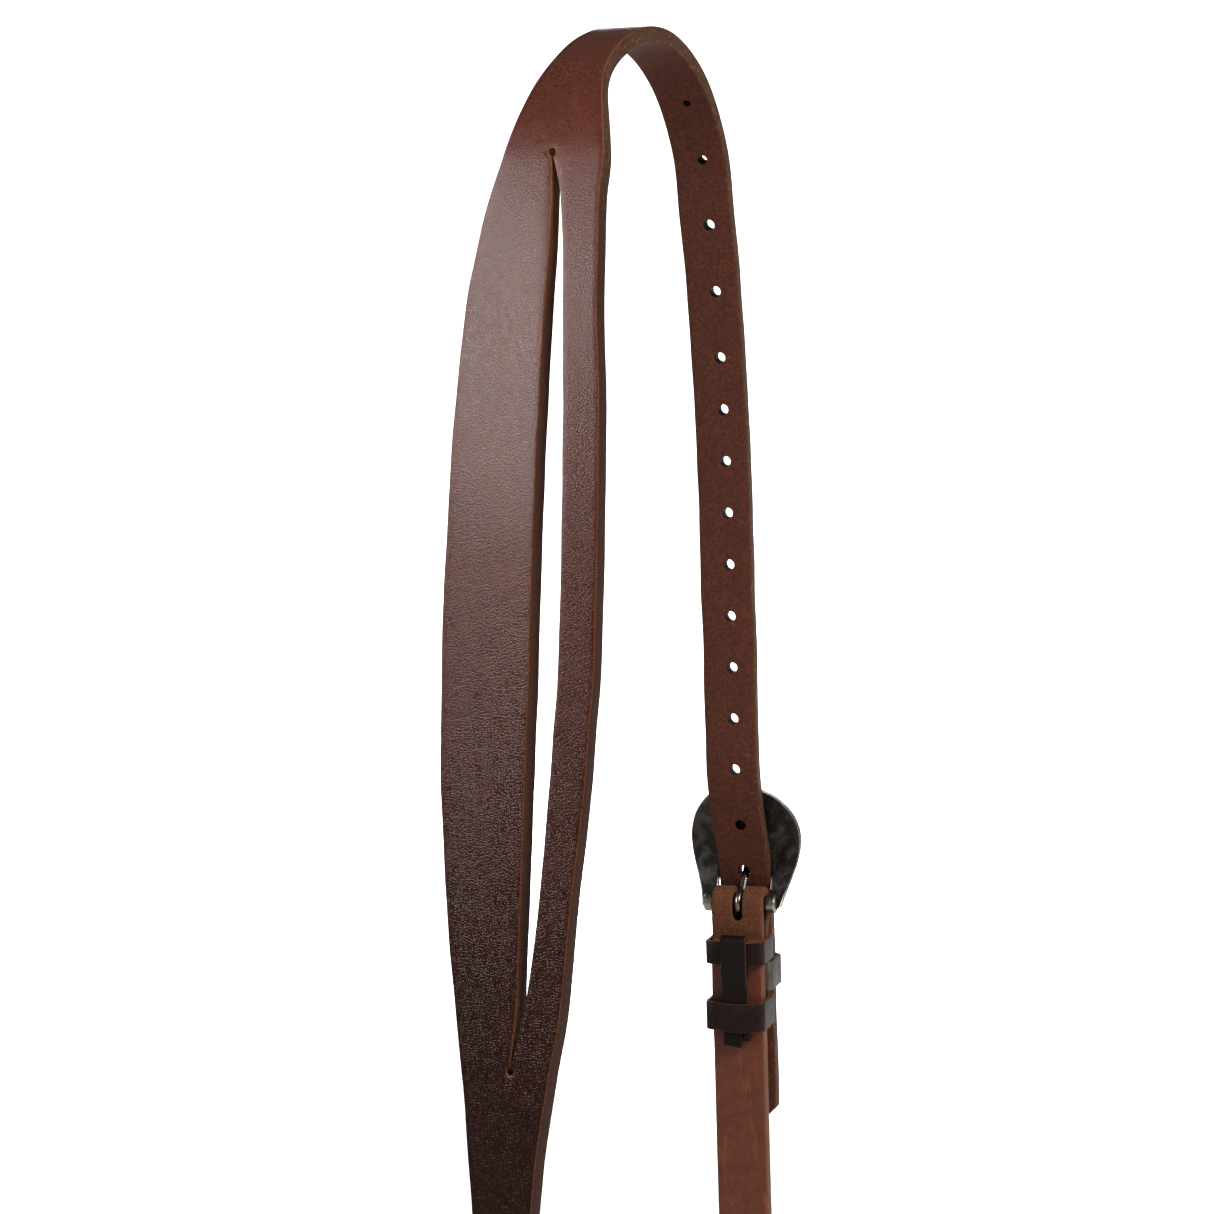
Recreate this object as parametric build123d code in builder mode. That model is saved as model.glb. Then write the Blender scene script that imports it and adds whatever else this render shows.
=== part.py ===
from build123d import *
import math
import os

# Slit-ear headstall. All sizes are in millimetres.
# The origin is on the inner face of the strap where it crosses the poll, and +Z is up.
# The straps' width runs along X. The off side, with the ear slit, hangs at -Y, and the near side,
# with the buckle, at +Y. A "run" is a distance along the middle of the leather from the poll.

# leather
STRAP_WIDTH = 15.9
LEATHER = 4.6
SKIVED = 3.0
TIE = 1.2
LACE = 1.3
GAP = 0.3
SOFT_EDGE = 0.5
THROUGH = 8 * LEATHER

# the arch: a round crown, a long gentle curve, then a straight leg
CROWN_RADIUS = 51.0
CROWN_TURN = math.radians(75.4)
FLARE_RADIUS = 600.0
LEG_TURN = math.radians(85.7)
OFF_TWIST = -9.0
NEAR_TWIST = 7.0
TWIST_RUN = 110.0

# steps between the cross sections that the straps are lofted through
CROWN_STEP = 6.0
BAND_STEP = 12.0
LEG_STEP = 13.0
BILLET_STEP = 9.0
RISE_STEP = 5.0

# ear slit, and how far its two bands turn apart
SLIT_TOP = 64.7
SLIT_END = 309.7
SLIT_HOLE_RADIUS = 1.2
WIDE_BAND_TWIST = -4.0
NARROW_BAND_TWIST = 6.0

# billet
HOLE_RADIUS = 1.65
HOLE_OFFSET = 1.0
FIRST_HOLE = 39.8
WIDE_PITCH = 19.9
WIDE_HOLES = 4
NARROW_PITCH = 15.62
NARROW_HOLES = 9
LAST_HOLE = 262.3
TAIL_EDGE = 65.7
TAIL_POINT = 71.7
TAIL_NOSE = 2.0

# buckle, in its own frame: x across the strap, y down it, z outward, from the run of the bar
BAR_RUN = 286.8
BAR_RADIUS = 1.9
BAR_CLEARANCE = 0.25
BAR_OUT = LEATHER / 2 + BAR_RADIUS + BAR_CLEARANCE
BILLET_OUT = BAR_OUT + BAR_RADIUS + BAR_CLEARANCE + SKIVED + GAP + LEATHER / 2
BILLET_RISE = (BAR_RUN - 46.0, BAR_RUN + 2.0)
FLEX_ABOVE = 1.5
FLEX_BELOW = 1.0
FRAME_THICKNESS = 2.0
FRAME_CURVE = 28.7
FRAME_TOP = -36.0
FRAME_CREST = 11.6
ARM_END = (12.6, 1.5)
WINDOW_CORNER = 2.0
FRAME_OUTLINE = [(0, FRAME_TOP), (9.5, -33.6), (15.6, -26.6), (17.5, -18), (15.0, -7)]
WINDOW_TOP = -16.3
WINDOW_HALF = 8.25
LUG_WIDTH = 3.0
LUG_RADIUS = 2.9
TONGUE_RADIUS = 1.15
TONGUE_PLAY = 0.1
TONGUE_BEND = 5.0
TONGUE_LINE = [(-2.6, 6.2), (-12.0, 15.2), (-25.5, 14.35)]
TONGUE_REACH = 14.0
TONGUE_HOLE_RADIUS = 1.8
SLOT_HALF = 1.7
SLOT_DEPTH = 4.7
SLOT_OVER = 1.0

# ties, lace and metal keeper, as distances below the bar
UPPER_TIE = (10.1, 17.3)
METAL_KEEPER = (17.9, 26.9)
LOWER_TIE = (28.6, 37.4)
FLAP_END = 39.0
FLAP_IN = 4.1
LACE_WIDTH = 8.0
LACE_END = 42.2
LACE_STEP = 2.0
TOUCH = 0.1
METAL_WALL = 1.2
METAL_HALF = 8.4
TIE_HALF = STRAP_WIDTH / 2 + 0.15

# bit ends
LOOP_RUN = 541.0
LOOP_RADIUS = 6.0
LOOP_LEAN = math.radians(40)
LOOP_EASE = 10.0
LOOP_LEAD = 60.0
TAB_LENGTH = 31.0
TAB_GAP = 0.1
SCREW_RUNS = {"upper": 44.0, "lower": 28.0}
POST_RADIUS = 2.5
POST_BORE = 1.6
POST_SHORT = 0.5
SHANK_SHORT = 2.5
SCREW_RADIUS = 1.5
SCREW_SLOT = (1.0, 0.6)
POST_PLAY = 0.15
CLAMP_GAP = 0.05
HEAD_RADIUS = 5.0
HEAD_HEIGHT = 1.2

# flex line over the poll
KNUCKLE_GAP = 0.3

# outline of the ear band: run, and distance from the middle of the strap
LEFT_EDGE = [(15, -8), (33, -10), (64.7, -16.4), (84, -22), (104, -24.7), (145, -26.9), (190, -27.8),
             (235, -26.4), (277, -21.4), (309.7, -15.8), (335, -12.4), (362, -9), (385, -8)]
RIGHT_EDGE = [(15, 8), (38, 8.3), (64.7, 15.4), (77, 15.7), (105, 17.7), (131, 20.1), (159, 21.5),
              (190, 21.9), (213, 21.3), (242, 19.8), (264, 17.9), (295, 15.6), (309.7, 13.4),
              (335, 9.6), (362, 8.1), (385, 8)]
WIDE_INNER = [(64.7, -0.8), (84, 1.2), (145, 2.6), (250, 2.6), (290, 2.0), (309.7, 0.6)]
NARROW_INNER = [(64.7, -0.8), (77, 3.3), (104, 6.9), (145, 9.8), (190, 10.8), (235, 9.4),
                (275, 6.8), (298, 3.2), (309.7, 0.6)]


def eased(value):
    """Smooth step from 0 to 1."""
    held = min(max(value, 0.0), 1.0)
    return held * held * (3 - 2 * held)


def edge_at(points, run):
    """Smooth curve through the points of an outline, flat beyond its ends."""
    if run <= points[0][0]:
        return points[0][1]
    if run >= points[-1][0]:
        return points[-1][1]
    last = len(points) - 1
    i = max(k for k in range(last) if points[k][0] <= run)

    def slope(k):
        low = max(k - 1, 0)
        high = min(k + 1, last)
        return (points[high][1] - points[low][1]) / (points[high][0] - points[low][0])

    span = points[i + 1][0] - points[i][0]
    t = (run - points[i][0]) / span
    rise = points[i + 1][1] - points[i][1]
    start = slope(i) * span
    end = slope(i + 1) * span
    return points[i][1] + start * t + (3 * rise - 2 * start - end) * t**2 + (start + end - 2 * rise) * t**3


def middle_line(run):
    """Distance out from the poll, height, and slope of the leather's middle at a run."""
    crown_run = CROWN_RADIUS * CROWN_TURN
    flare_run = crown_run + FLARE_RADIUS * (LEG_TURN - CROWN_TURN)
    if run <= crown_run:
        turn = run / CROWN_RADIUS
    else:
        turn = min(CROWN_TURN + (run - crown_run) / FLARE_RADIUS, LEG_TURN)
    crown = min(turn, CROWN_TURN)
    straight = max(run - flare_run, 0)
    out = CROWN_RADIUS * math.sin(crown) + straight * math.cos(turn)
    down = CROWN_RADIUS * (1 - math.cos(crown)) + straight * math.sin(turn)
    if turn > CROWN_TURN:
        out += FLARE_RADIUS * (math.sin(turn) - math.sin(CROWN_TURN))
        down += FLARE_RADIUS * (math.cos(CROWN_TURN) - math.cos(turn))
    return out, LEATHER / 2 - down, turn


def strap_plane(side, run, extra_twist=0.0, outward=0.0):
    """Plane across a strap: x over its width, y outward. side is -1 for off and 1 for near."""
    out, height, turn = middle_line(run)
    along = Vector(0, side * math.cos(turn), -math.sin(turn))
    across = Vector(1, 0, 0)
    full_twist = NEAR_TWIST if side > 0 else OFF_TWIST
    twist = math.radians(full_twist * eased(run / TWIST_RUN) + extra_twist)
    across = across * math.cos(twist) + (along * -1).cross(across) * math.sin(twist)
    place = Plane(origin=(0, side * out, height), x_dir=across, z_dir=along * -side)
    return Plane(origin=place.from_local_coords((0, outward, 0)), x_dir=across, z_dir=place.z_dir)


def leg_plane(side, run):
    """Plane on a straight leg, facing outward: y runs down the near leg and up the off leg."""
    cut = strap_plane(side, run)
    return Plane(origin=cut.origin, x_dir=cut.x_dir, z_dir=cut.y_dir)


def side_plane(side, run, across=0.0):
    """Plane along a straight leg, seen from its edge: x down the strap, y outward."""
    cut = strap_plane(side, run)
    return Plane(origin=cut.from_local_coords((across, 0, 0)), x_dir=cut.z_dir * -side,
                 z_dir=cut.x_dir * side)


def strap_sections(side, runs, left, right, twist=lambda run: 0.0, outward=lambda run: 0.0):
    """Rectangles across a strap, to be lofted."""
    faces = []
    for run in runs:
        low = left(run)
        high = right(run)
        with BuildSketch(strap_plane(side, run, twist(run), outward(run))) as section:
            with Locations(((low + high) / 2, 0)):
                Rectangle(high - low, LEATHER)
        faces.append(section.sketch)
    return faces


def spaced(start, end, step):
    """Evenly spaced runs from start to end, about a step apart."""
    count = max(1, math.ceil((end - start) / step))
    return [start + (end - start) * k / count for k in range(count + 1)]


def finish(piece, name):
    piece.part.label = name
    export_step(piece.part, f"parts/{name}.step")
    print(name, len(piece.part.solids()), round(piece.part.volume, 1))


def half_strap(run):
    return STRAP_WIDTH / 2


def minus_half_strap(run):
    return -STRAP_WIDTH / 2


def band_left(run):
    return edge_at(LEFT_EDGE, run)


def band_right(run):
    return edge_at(RIGHT_EDGE, run)


def wide_inner(run):
    return edge_at(WIDE_INNER, run)


def narrow_inner(run):
    return edge_at(NARROW_INNER, run)


def slit_swell(run):
    """0 at the ends of the slit and 1 in its middle."""
    return math.sin(math.pi * (run - SLIT_TOP) / (SLIT_END - SLIT_TOP))


def wide_twist(run):
    return WIDE_BAND_TWIST * slit_swell(run)


def narrow_twist(run):
    return NARROW_BAND_TWIST * slit_swell(run)


def hole_place(side, run, across=0.0):
    """Where a hole goes straight through a strap."""
    face = leg_plane(side, run)
    return Plane(origin=face.from_local_coords((across, 0, 0)), x_dir=face.x_dir, z_dir=face.z_dir).location


def bar_place(across):
    """A place on the bar's axis, with z along it."""
    centre = NEAR_BAR.from_local_coords((across, 0, BAR_OUT))
    return Plane(origin=centre, x_dir=NEAR_BAR.y_dir, z_dir=NEAR_BAR.x_dir).location


def wire_start(line):
    """Plane across the start of the tongue's shaft."""
    place = side_plane(1, BAR_RUN)
    start = place.from_local_coords((*line[0], 0))
    after = place.from_local_coords((*line[1], 0))
    return Plane(origin=start, x_dir=place.z_dir, z_dir=after - start)


def tie_plane(down):
    """Plane across the near leg at a distance below the bar: x across, y outward, z down."""
    low = NEAR_BAR.from_local_coords((0, down, 0))
    return Plane(origin=low, x_dir=NEAR_BAR.x_dir * -1, z_dir=NEAR_BAR.y_dir)


def ring(half, inside, outside, wall):
    """A square loop between two depths, in the sketch that is being drawn."""
    with Locations((0, (inside + outside) / 2)):
        RectangleRounded(2 * (half + wall), outside - inside + 2 * wall, wall)
        Rectangle(2 * half, outside - inside, mode=Mode.SUBTRACT)


def billet_out(run):
    """How far the billet has left the leg's middle on its way over the heel bar."""
    return BILLET_OUT * eased((run - BILLET_RISE[0]) / (BILLET_RISE[1] - BILLET_RISE[0]))


def bit_loop_sketch(side, top):
    """Strap end turned inward round the bit ring and back up against the strap."""
    middle = LOOP_RADIUS + LEATHER / 2
    tab = -LEATHER - TAB_GAP
    turn = math.pi + LOOP_LEAN
    leave = (middle * math.sin(turn), -middle + middle * math.cos(turn))
    ease_down = LOOP_EASE * (1 - math.cos(LOOP_LEAN))
    line = (tab - leave[1] - ease_down) / math.sin(LOOP_LEAN)
    reach = (leave[0] - line * math.cos(LOOP_LEAN), leave[1] + line * math.sin(LOOP_LEAN))
    rest = (reach[0] - LOOP_EASE * math.sin(LOOP_LEAN), tab)
    with BuildSketch(side_plane(side, LOOP_RUN, -side * STRAP_WIDTH / 2)) as sketch:
        with BuildLine():
            Line((top, 0), (0, 0))
            ThreePointArc((0, 0), (middle, -middle), leave)
            Line(leave, reach)
            half = LOOP_LEAN / 2
            mid = (reach[0] - LOOP_EASE * (math.sin(LOOP_LEAN) - math.sin(half)),
                   tab - LOOP_EASE * (1 - math.cos(half)))
            ThreePointArc(reach, mid, rest)
            Line(rest, (rest[0] - TAB_LENGTH, tab))
        trace(line_width=LEATHER)
    return sketch.sketch


os.makedirs("parts", exist_ok=True)

# values worked out from the driving dimensions
NEAR_BAR = leg_plane(1, BAR_RUN)
FLEX_LINE = Plane(origin=(0, 0, LEATHER / 2), x_dir=(0, 1, 0), z_dir=(1, 0, 0)).location
BAR_AXIS = Axis(NEAR_BAR.from_local_coords((0, 0, BAR_OUT)), NEAR_BAR.x_dir)
SKIVE_END = (10.0, 12.0)
CHEEK_END = LOOP_RUN - LOOP_LEAD - BAR_RUN
POST_FACE = LEATHER / 2 + CLAMP_GAP
POST_LENGTH = 2 * LEATHER - POST_SHORT
SHANK_LENGTH = POST_LENGTH - SHANK_SHORT
SCREW_FACE = LEATHER * 1.5 + TAB_GAP + CLAMP_GAP
TIE_TOP = FLAP_IN + SKIVED + TOUCH
LACE_BACK = -LEATHER / 2 - TOUCH - LACE
METAL_IN = LEATHER / 2 + GAP + METAL_WALL
METAL_OUT = BILLET_OUT + LEATHER / 2 + GAP
TONGUE_START = wire_start(TONGUE_LINE)

# Off side of the crown strap: the knuckle at the poll, the slit ear band and the bit end.
LOFT_END = LOOP_RUN - LOOP_LEAD
with BuildPart() as crown_off_side:
    loft(strap_sections(-1, spaced(0, SLIT_TOP, CROWN_STEP), band_left, band_right), ruled=True)
    slit_runs = spaced(SLIT_TOP, SLIT_END, BAND_STEP)
    loft(strap_sections(-1, slit_runs, band_left, wide_inner, wide_twist), ruled=True)
    loft(strap_sections(-1, slit_runs, narrow_inner, band_right, narrow_twist), ruled=True)
    loft(strap_sections(-1, spaced(SLIT_END, LOFT_END, LEG_STEP), band_left, band_right), ruled=True)
    extrude(bit_loop_sketch(-1, LOFT_END - LOOP_RUN), amount=STRAP_WIDTH)
    with Locations(FLEX_LINE):
        Cylinder(LEATHER / 2, STRAP_WIDTH)
    for end in (SLIT_TOP, SLIT_END):
        with Locations(hole_place(-1, end, wide_inner(end))):
            Cylinder(SLIT_HOLE_RADIUS, 2 * LEATHER, mode=Mode.SUBTRACT)
    for back in SCREW_RUNS.values():
        with Locations(hole_place(-1, LOOP_RUN - back)):
            Cylinder(POST_RADIUS + POST_PLAY, THROUGH, mode=Mode.SUBTRACT)
finish(crown_off_side, "crown_off_side")

# Near side of the crown strap, with the punched billet, down to the buckle's bar.
HOLES = [FIRST_HOLE + WIDE_PITCH * k for k in range(WIDE_HOLES)]
HOLES += [FIRST_HOLE + WIDE_PITCH * WIDE_HOLES + NARROW_PITCH * k for k in range(NARROW_HOLES)]
HOLES.append(LAST_HOLE)
BILLET_END = BAR_RUN - FLEX_ABOVE
with BuildPart() as crown_billet:
    billet_runs = spaced(0, BILLET_RISE[0], BILLET_STEP)
    billet_runs += spaced(BILLET_RISE[0], BILLET_END, RISE_STEP)[1:]
    loft(strap_sections(1, billet_runs, minus_half_strap, half_strap, outward=billet_out), ruled=True)
    with Locations(FLEX_LINE):
        Cylinder(LEATHER / 2 + KNUCKLE_GAP, 2 * STRAP_WIDTH, mode=Mode.SUBTRACT)
    for run in HOLES:
        with Locations(hole_place(1, run, HOLE_OFFSET)):
            Cylinder(HOLE_RADIUS, THROUGH, mode=Mode.SUBTRACT)
    with BuildSketch(TONGUE_START):
        Circle(TONGUE_HOLE_RADIUS)
    extrude(amount=TONGUE_REACH, mode=Mode.SUBTRACT)
finish(crown_billet, "crown_billet")

# Tail of the billet, below the bar, with its pointed end.
with BuildPart() as billet_tip:
    with BuildSketch(NEAR_BAR.offset(BILLET_OUT - LEATHER / 2)):
        with BuildLine():
            Polyline((-STRAP_WIDTH / 2, FLEX_BELOW), (STRAP_WIDTH / 2, FLEX_BELOW),
                     (STRAP_WIDTH / 2, TAIL_EDGE), (TAIL_NOSE, TAIL_POINT), (-TAIL_NOSE, TAIL_POINT),
                     (-STRAP_WIDTH / 2, TAIL_EDGE), close=True)
        make_face()
    extrude(amount=LEATHER)
finish(billet_tip, "billet_tip")

# Near cheek strap: skived and folded over the bar, its flap outside, its bit end below.
with BuildPart() as near_cheek:
    with BuildSketch(side_plane(1, BAR_RUN, -STRAP_WIDTH / 2)):
        inner = BAR_RADIUS + BAR_CLEARANCE
        outer = inner + SKIVED
        skive = BAR_OUT - outer
        with BuildLine():
            Polyline((CHEEK_END, -LEATHER / 2), (SKIVE_END[1], -LEATHER / 2), (SKIVE_END[0], skive),
                     (0, skive))
            ThreePointArc((0, skive), (-outer, BAR_OUT), (0, BAR_OUT + outer))
            Polyline((0, BAR_OUT + outer), (SKIVE_END[0], FLAP_IN + SKIVED), (FLAP_END, FLAP_IN + SKIVED),
                     (FLAP_END, FLAP_IN), (SKIVE_END[0], FLAP_IN), (0, BAR_OUT + inner))
            ThreePointArc((0, BAR_OUT + inner), (-inner, BAR_OUT), (0, BAR_OUT - inner))
            Polyline((0, BAR_OUT - inner), (CHEEK_END, LEATHER / 2), (CHEEK_END, -LEATHER / 2))
        make_face()
    extrude(amount=STRAP_WIDTH)
    extrude(bit_loop_sketch(1, CHEEK_END + BAR_RUN - LOOP_RUN), amount=STRAP_WIDTH)
    with BuildSketch(NEAR_BAR.offset(-LEATHER)):
        with Locations((0, (SLOT_DEPTH - outer) / 2 - SLOT_OVER)):
            SlotOverall(SLOT_DEPTH + outer + 2 * SLOT_OVER, 2 * SLOT_HALF, rotation=90)
    extrude(amount=LEATHER + BAR_OUT, mode=Mode.SUBTRACT)
    with BuildSketch(NEAR_BAR.offset(BAR_OUT)):
        with Locations((0, -outer / 2)):
            SlotOverall(3 * outer, 2 * SLOT_HALF, rotation=90)
    extrude(amount=2 * LEATHER, mode=Mode.SUBTRACT)
    for back in SCREW_RUNS.values():
        with Locations(hole_place(1, LOOP_RUN - back)):
            Cylinder(POST_RADIUS + POST_PLAY, THROUGH, mode=Mode.SUBTRACT)
finish(near_cheek, "near_cheek")

# Buckle frame: a rounded plate, curved outward, open at the bottom, with a lug on each arm.
with BuildPart() as buckle_frame:
    with BuildSketch(NEAR_BAR):
        with BuildLine():
            Spline(*FRAME_OUTLINE, ARM_END, tangents=((1, 0), (-0.4, 1)))
            Line(ARM_END, (WINDOW_HALF, ARM_END[1]))
            Line((WINDOW_HALF, ARM_END[1]), (WINDOW_HALF, WINDOW_TOP + WINDOW_CORNER))
            RadiusArc((WINDOW_HALF, WINDOW_TOP + WINDOW_CORNER), (WINDOW_HALF - WINDOW_CORNER, WINDOW_TOP),
                      -WINDOW_CORNER)
            Line((WINDOW_HALF - WINDOW_CORNER, WINDOW_TOP), (0, WINDOW_TOP))
            Line((0, WINDOW_TOP), (0, FRAME_TOP))
        make_face()
        mirror(about=Plane.YZ)
    extrude(amount=THROUGH)
    with BuildSketch(side_plane(1, BAR_RUN, -STRAP_WIDTH * 1.5)):
        with Locations((FRAME_TOP / 2, FRAME_CREST - FRAME_CURVE)):
            Circle(FRAME_CURVE + FRAME_THICKNESS)
            Circle(FRAME_CURVE, mode=Mode.SUBTRACT)
    extrude(amount=3 * STRAP_WIDTH, mode=Mode.INTERSECT)
    for across in (-WINDOW_HALF - LUG_WIDTH / 2, WINDOW_HALF + LUG_WIDTH / 2):
        with Locations(bar_place(across)):
            Cylinder(LUG_RADIUS, LUG_WIDTH)
            Cylinder(BAR_RADIUS + CLAMP_GAP, 2 * LUG_WIDTH, mode=Mode.SUBTRACT)
finish(buckle_frame, "buckle_frame")

# Heel bar: the axle that the cheek's fold and the tongue turn on.
with BuildPart() as buckle_bar:
    with Locations(bar_place(0)):
        Cylinder(BAR_RADIUS, 2 * (WINDOW_HALF + LUG_WIDTH))
    fillet(buckle_bar.edges(), SOFT_EDGE)
finish(buckle_bar, "buckle_bar")

# Tongue: a wire eye on the bar and a shaft through the billet that rests on the frame.
with BuildPart() as buckle_tongue:
    with BuildSketch(strap_plane(1, BAR_RUN)):
        with Locations((0, BAR_OUT + BAR_RADIUS + TONGUE_PLAY + TONGUE_RADIUS)):
            Circle(TONGUE_RADIUS)
    revolve(axis=BAR_AXIS)
    with BuildLine() as shaft:
        FilletPolyline(*[side_plane(1, BAR_RUN).from_local_coords((y, z, 0)) for y, z in TONGUE_LINE],
                       radius=TONGUE_BEND)
    with BuildSketch(TONGUE_START):
        Circle(TONGUE_RADIUS)
    sweep(path=shaft.wires()[0])
    with Locations(side_plane(1, BAR_RUN).from_local_coords((*TONGUE_LINE[-1], 0))):
        Sphere(TONGUE_RADIUS)
finish(buckle_tongue, "buckle_tongue")

# Two leather ties round the cheek's layers, the lace hooked over the upper one, the metal keeper.
with BuildPart() as upper_keeper:
    with BuildSketch(tie_plane(UPPER_TIE[0])):
        ring(TIE_HALF, LACE_BACK - TOUCH, TIE_TOP, TIE)
    extrude(amount=UPPER_TIE[1] - UPPER_TIE[0])
finish(upper_keeper, "upper_keeper")

with BuildPart() as lower_keeper:
    with BuildSketch(tie_plane(LOWER_TIE[0])):
        ring(TIE_HALF, LACE_BACK - LACE - 2 * TOUCH, TIE_TOP, TIE)
    extrude(amount=LOWER_TIE[1] - LOWER_TIE[0])
finish(lower_keeper, "lower_keeper")

with BuildPart() as metal_keeper:
    with BuildSketch(tie_plane(METAL_KEEPER[0])):
        ring(METAL_HALF, METAL_IN, METAL_OUT, METAL_WALL)
    extrude(amount=METAL_KEEPER[1] - METAL_KEEPER[0])
finish(metal_keeper, "metal_keeper")

with BuildPart() as keeper_lace:
    with BuildSketch(side_plane(1, BAR_RUN, -LACE_WIDTH / 2)):
        back = LACE_BACK + LACE / 2
        front = LACE_BACK - 2 * TOUCH - TIE - LACE / 2
        under = LACE_BACK - TOUCH - LACE / 2
        bend = (back - front) / 2
        hook = UPPER_TIE[0] + TOUCH
        with BuildLine():
            Line((LACE_END, back), (hook, back))
            ThreePointArc((hook, back), (hook - bend, (back + front) / 2), (hook, front))
            Line((hook, front), (UPPER_TIE[1] + LACE_STEP, front))
            Spline((UPPER_TIE[1] + LACE_STEP, front), (LOWER_TIE[0] - LACE_STEP, under),
                   tangents=((1, 0), (1, 0)))
            Line((LOWER_TIE[0] - LACE_STEP, under), (LACE_END - 1, under))
        trace(line_width=LACE)
    extrude(amount=LACE_WIDTH)
finish(keeper_lace, "keeper_lace")

# Chicago screws: a post and a screw through each double layer at the bit ends.
for side, side_name in ((-1, "off"), (1, "near")):
    for level, back in SCREW_RUNS.items():
        face = leg_plane(side, LOOP_RUN - back)
        outward = Axis(face.origin, face.z_dir)
        with BuildPart() as post:
            with BuildSketch(face.offset(POST_FACE)):
                Circle(HEAD_RADIUS)
            extrude(amount=HEAD_HEIGHT)
            fillet(post.faces().sort_by(outward)[-1].edges(), SOFT_EDGE)
            with BuildSketch(face.offset(POST_FACE - POST_LENGTH)):
                Circle(POST_RADIUS)
                Circle(POST_BORE, mode=Mode.SUBTRACT)
            extrude(amount=POST_LENGTH)
        finish(post, f"{side_name}_post_{level}")
        with BuildPart() as screw:
            with BuildSketch(face.offset(-SCREW_FACE - HEAD_HEIGHT)):
                Circle(HEAD_RADIUS)
            extrude(amount=HEAD_HEIGHT)
            fillet(screw.faces().sort_by(outward)[0].edges(), SOFT_EDGE)
            with BuildSketch(face.offset(-SCREW_FACE - HEAD_HEIGHT)):
                Rectangle(2 * HEAD_RADIUS, SCREW_SLOT[0])
            extrude(amount=SCREW_SLOT[1], mode=Mode.SUBTRACT)
            with BuildSketch(face.offset(-SCREW_FACE)):
                Circle(SCREW_RADIUS)
            extrude(amount=SHANK_LENGTH)
        finish(screw, f"{side_name}_screw_{level}")
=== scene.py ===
"""Looks of the slit-ear headstall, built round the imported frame. Lengths here are in millimetres in the
leather's own terms, and every point is turned into metres in the row frame by the place functions."""
import math

import bmesh
import bpy
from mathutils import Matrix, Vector, noise


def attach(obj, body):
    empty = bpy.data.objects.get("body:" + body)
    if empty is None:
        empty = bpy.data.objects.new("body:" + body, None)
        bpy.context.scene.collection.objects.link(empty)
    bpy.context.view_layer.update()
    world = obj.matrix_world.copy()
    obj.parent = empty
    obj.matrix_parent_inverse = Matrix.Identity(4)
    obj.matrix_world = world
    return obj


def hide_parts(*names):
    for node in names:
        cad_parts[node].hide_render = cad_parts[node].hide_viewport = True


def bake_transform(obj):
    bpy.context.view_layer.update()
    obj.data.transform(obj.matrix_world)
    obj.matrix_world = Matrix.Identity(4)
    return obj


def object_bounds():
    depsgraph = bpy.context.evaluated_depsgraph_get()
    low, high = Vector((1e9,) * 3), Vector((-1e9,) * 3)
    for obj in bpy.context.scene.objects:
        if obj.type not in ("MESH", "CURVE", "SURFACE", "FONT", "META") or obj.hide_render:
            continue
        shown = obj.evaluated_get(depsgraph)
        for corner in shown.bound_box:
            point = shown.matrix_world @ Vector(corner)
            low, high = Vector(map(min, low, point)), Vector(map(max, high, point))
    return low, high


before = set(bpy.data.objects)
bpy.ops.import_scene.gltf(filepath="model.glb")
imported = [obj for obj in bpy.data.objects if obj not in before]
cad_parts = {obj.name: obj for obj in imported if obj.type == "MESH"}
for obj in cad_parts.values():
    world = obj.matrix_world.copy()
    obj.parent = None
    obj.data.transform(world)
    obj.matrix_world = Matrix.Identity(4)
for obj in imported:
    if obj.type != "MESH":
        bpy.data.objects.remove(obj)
cad_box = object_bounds()

MM = 0.001

# leather and path, as the CAD model has them
STRAP_WIDTH = 15.9
LEATHER = 4.6
SKIVED = 3.0
CROWN_RADIUS = 51.0
CROWN_TURN = math.radians(75.4)
FLARE_RADIUS = 600.0
LEG_TURN = math.radians(85.7)
OFF_TWIST = -9.0
NEAR_TWIST = 7.0
TWIST_RUN = 110.0
SLIT_TOP = 64.7
SLIT_END = 309.7
SLIT_HOLE_RADIUS = 1.15
WIDE_BAND_TWIST = -4.0
NARROW_BAND_TWIST = 6.0
LOOP_RUN = 541.0
LOOP_RADIUS = 6.0
LOOP_LEAN = math.radians(40)
LOOP_EASE = 10.0
TAB_LENGTH = 31.0
TAB_GAP = 0.1
STRAIGHT_END = 60.0
LOFT_END = LOOP_RUN - STRAIGHT_END

# buckle, in its own frame: x across the strap, y down it, z outward
BAR_RUN = 286.8
BAR_RADIUS = 1.9
BAR_CLEARANCE = 0.25
BAR_OUT = LEATHER / 2 + BAR_RADIUS + BAR_CLEARANCE
STRAP_GAP = 0.3
BILLET_OUT = BAR_OUT + BAR_RADIUS + BAR_CLEARANCE + SKIVED + STRAP_GAP + LEATHER / 2
BILLET_RISE = (BAR_RUN - 46.0, BAR_RUN + 2.0)
SEAM_RUN = 221.0
TAIL_EDGE = 65.7
TAIL_POINT = 71.7
FLAP_END = 39.0
FLAP_IN = 4.1
FOLD_DOWN = 10.0
SLOT_HALF = 1.7
SLOT_DEPTH = 4.7

HOLE_RADIUS = 1.6
HOLE_OFFSET = 1.0
# holes have closed up near the poll: the share that is open there, and the run over which it grows by 1
CLOSED_HOLE = 0.4
OPEN_HOLE_RUN = 130
TONGUE_HOLE = 278.1
TONGUE_HOLE_RADIUS = 1.75
TONGUE_HOLE_STRETCH = 1.25
# down the billet: four holes wide apart over the crown, nine close together, and the last above the plate
HOLES = [39.8 + 19.9 * k for k in range(4)] + [119.4 + 15.62 * k for k in range(9)] + [262.3]

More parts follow.
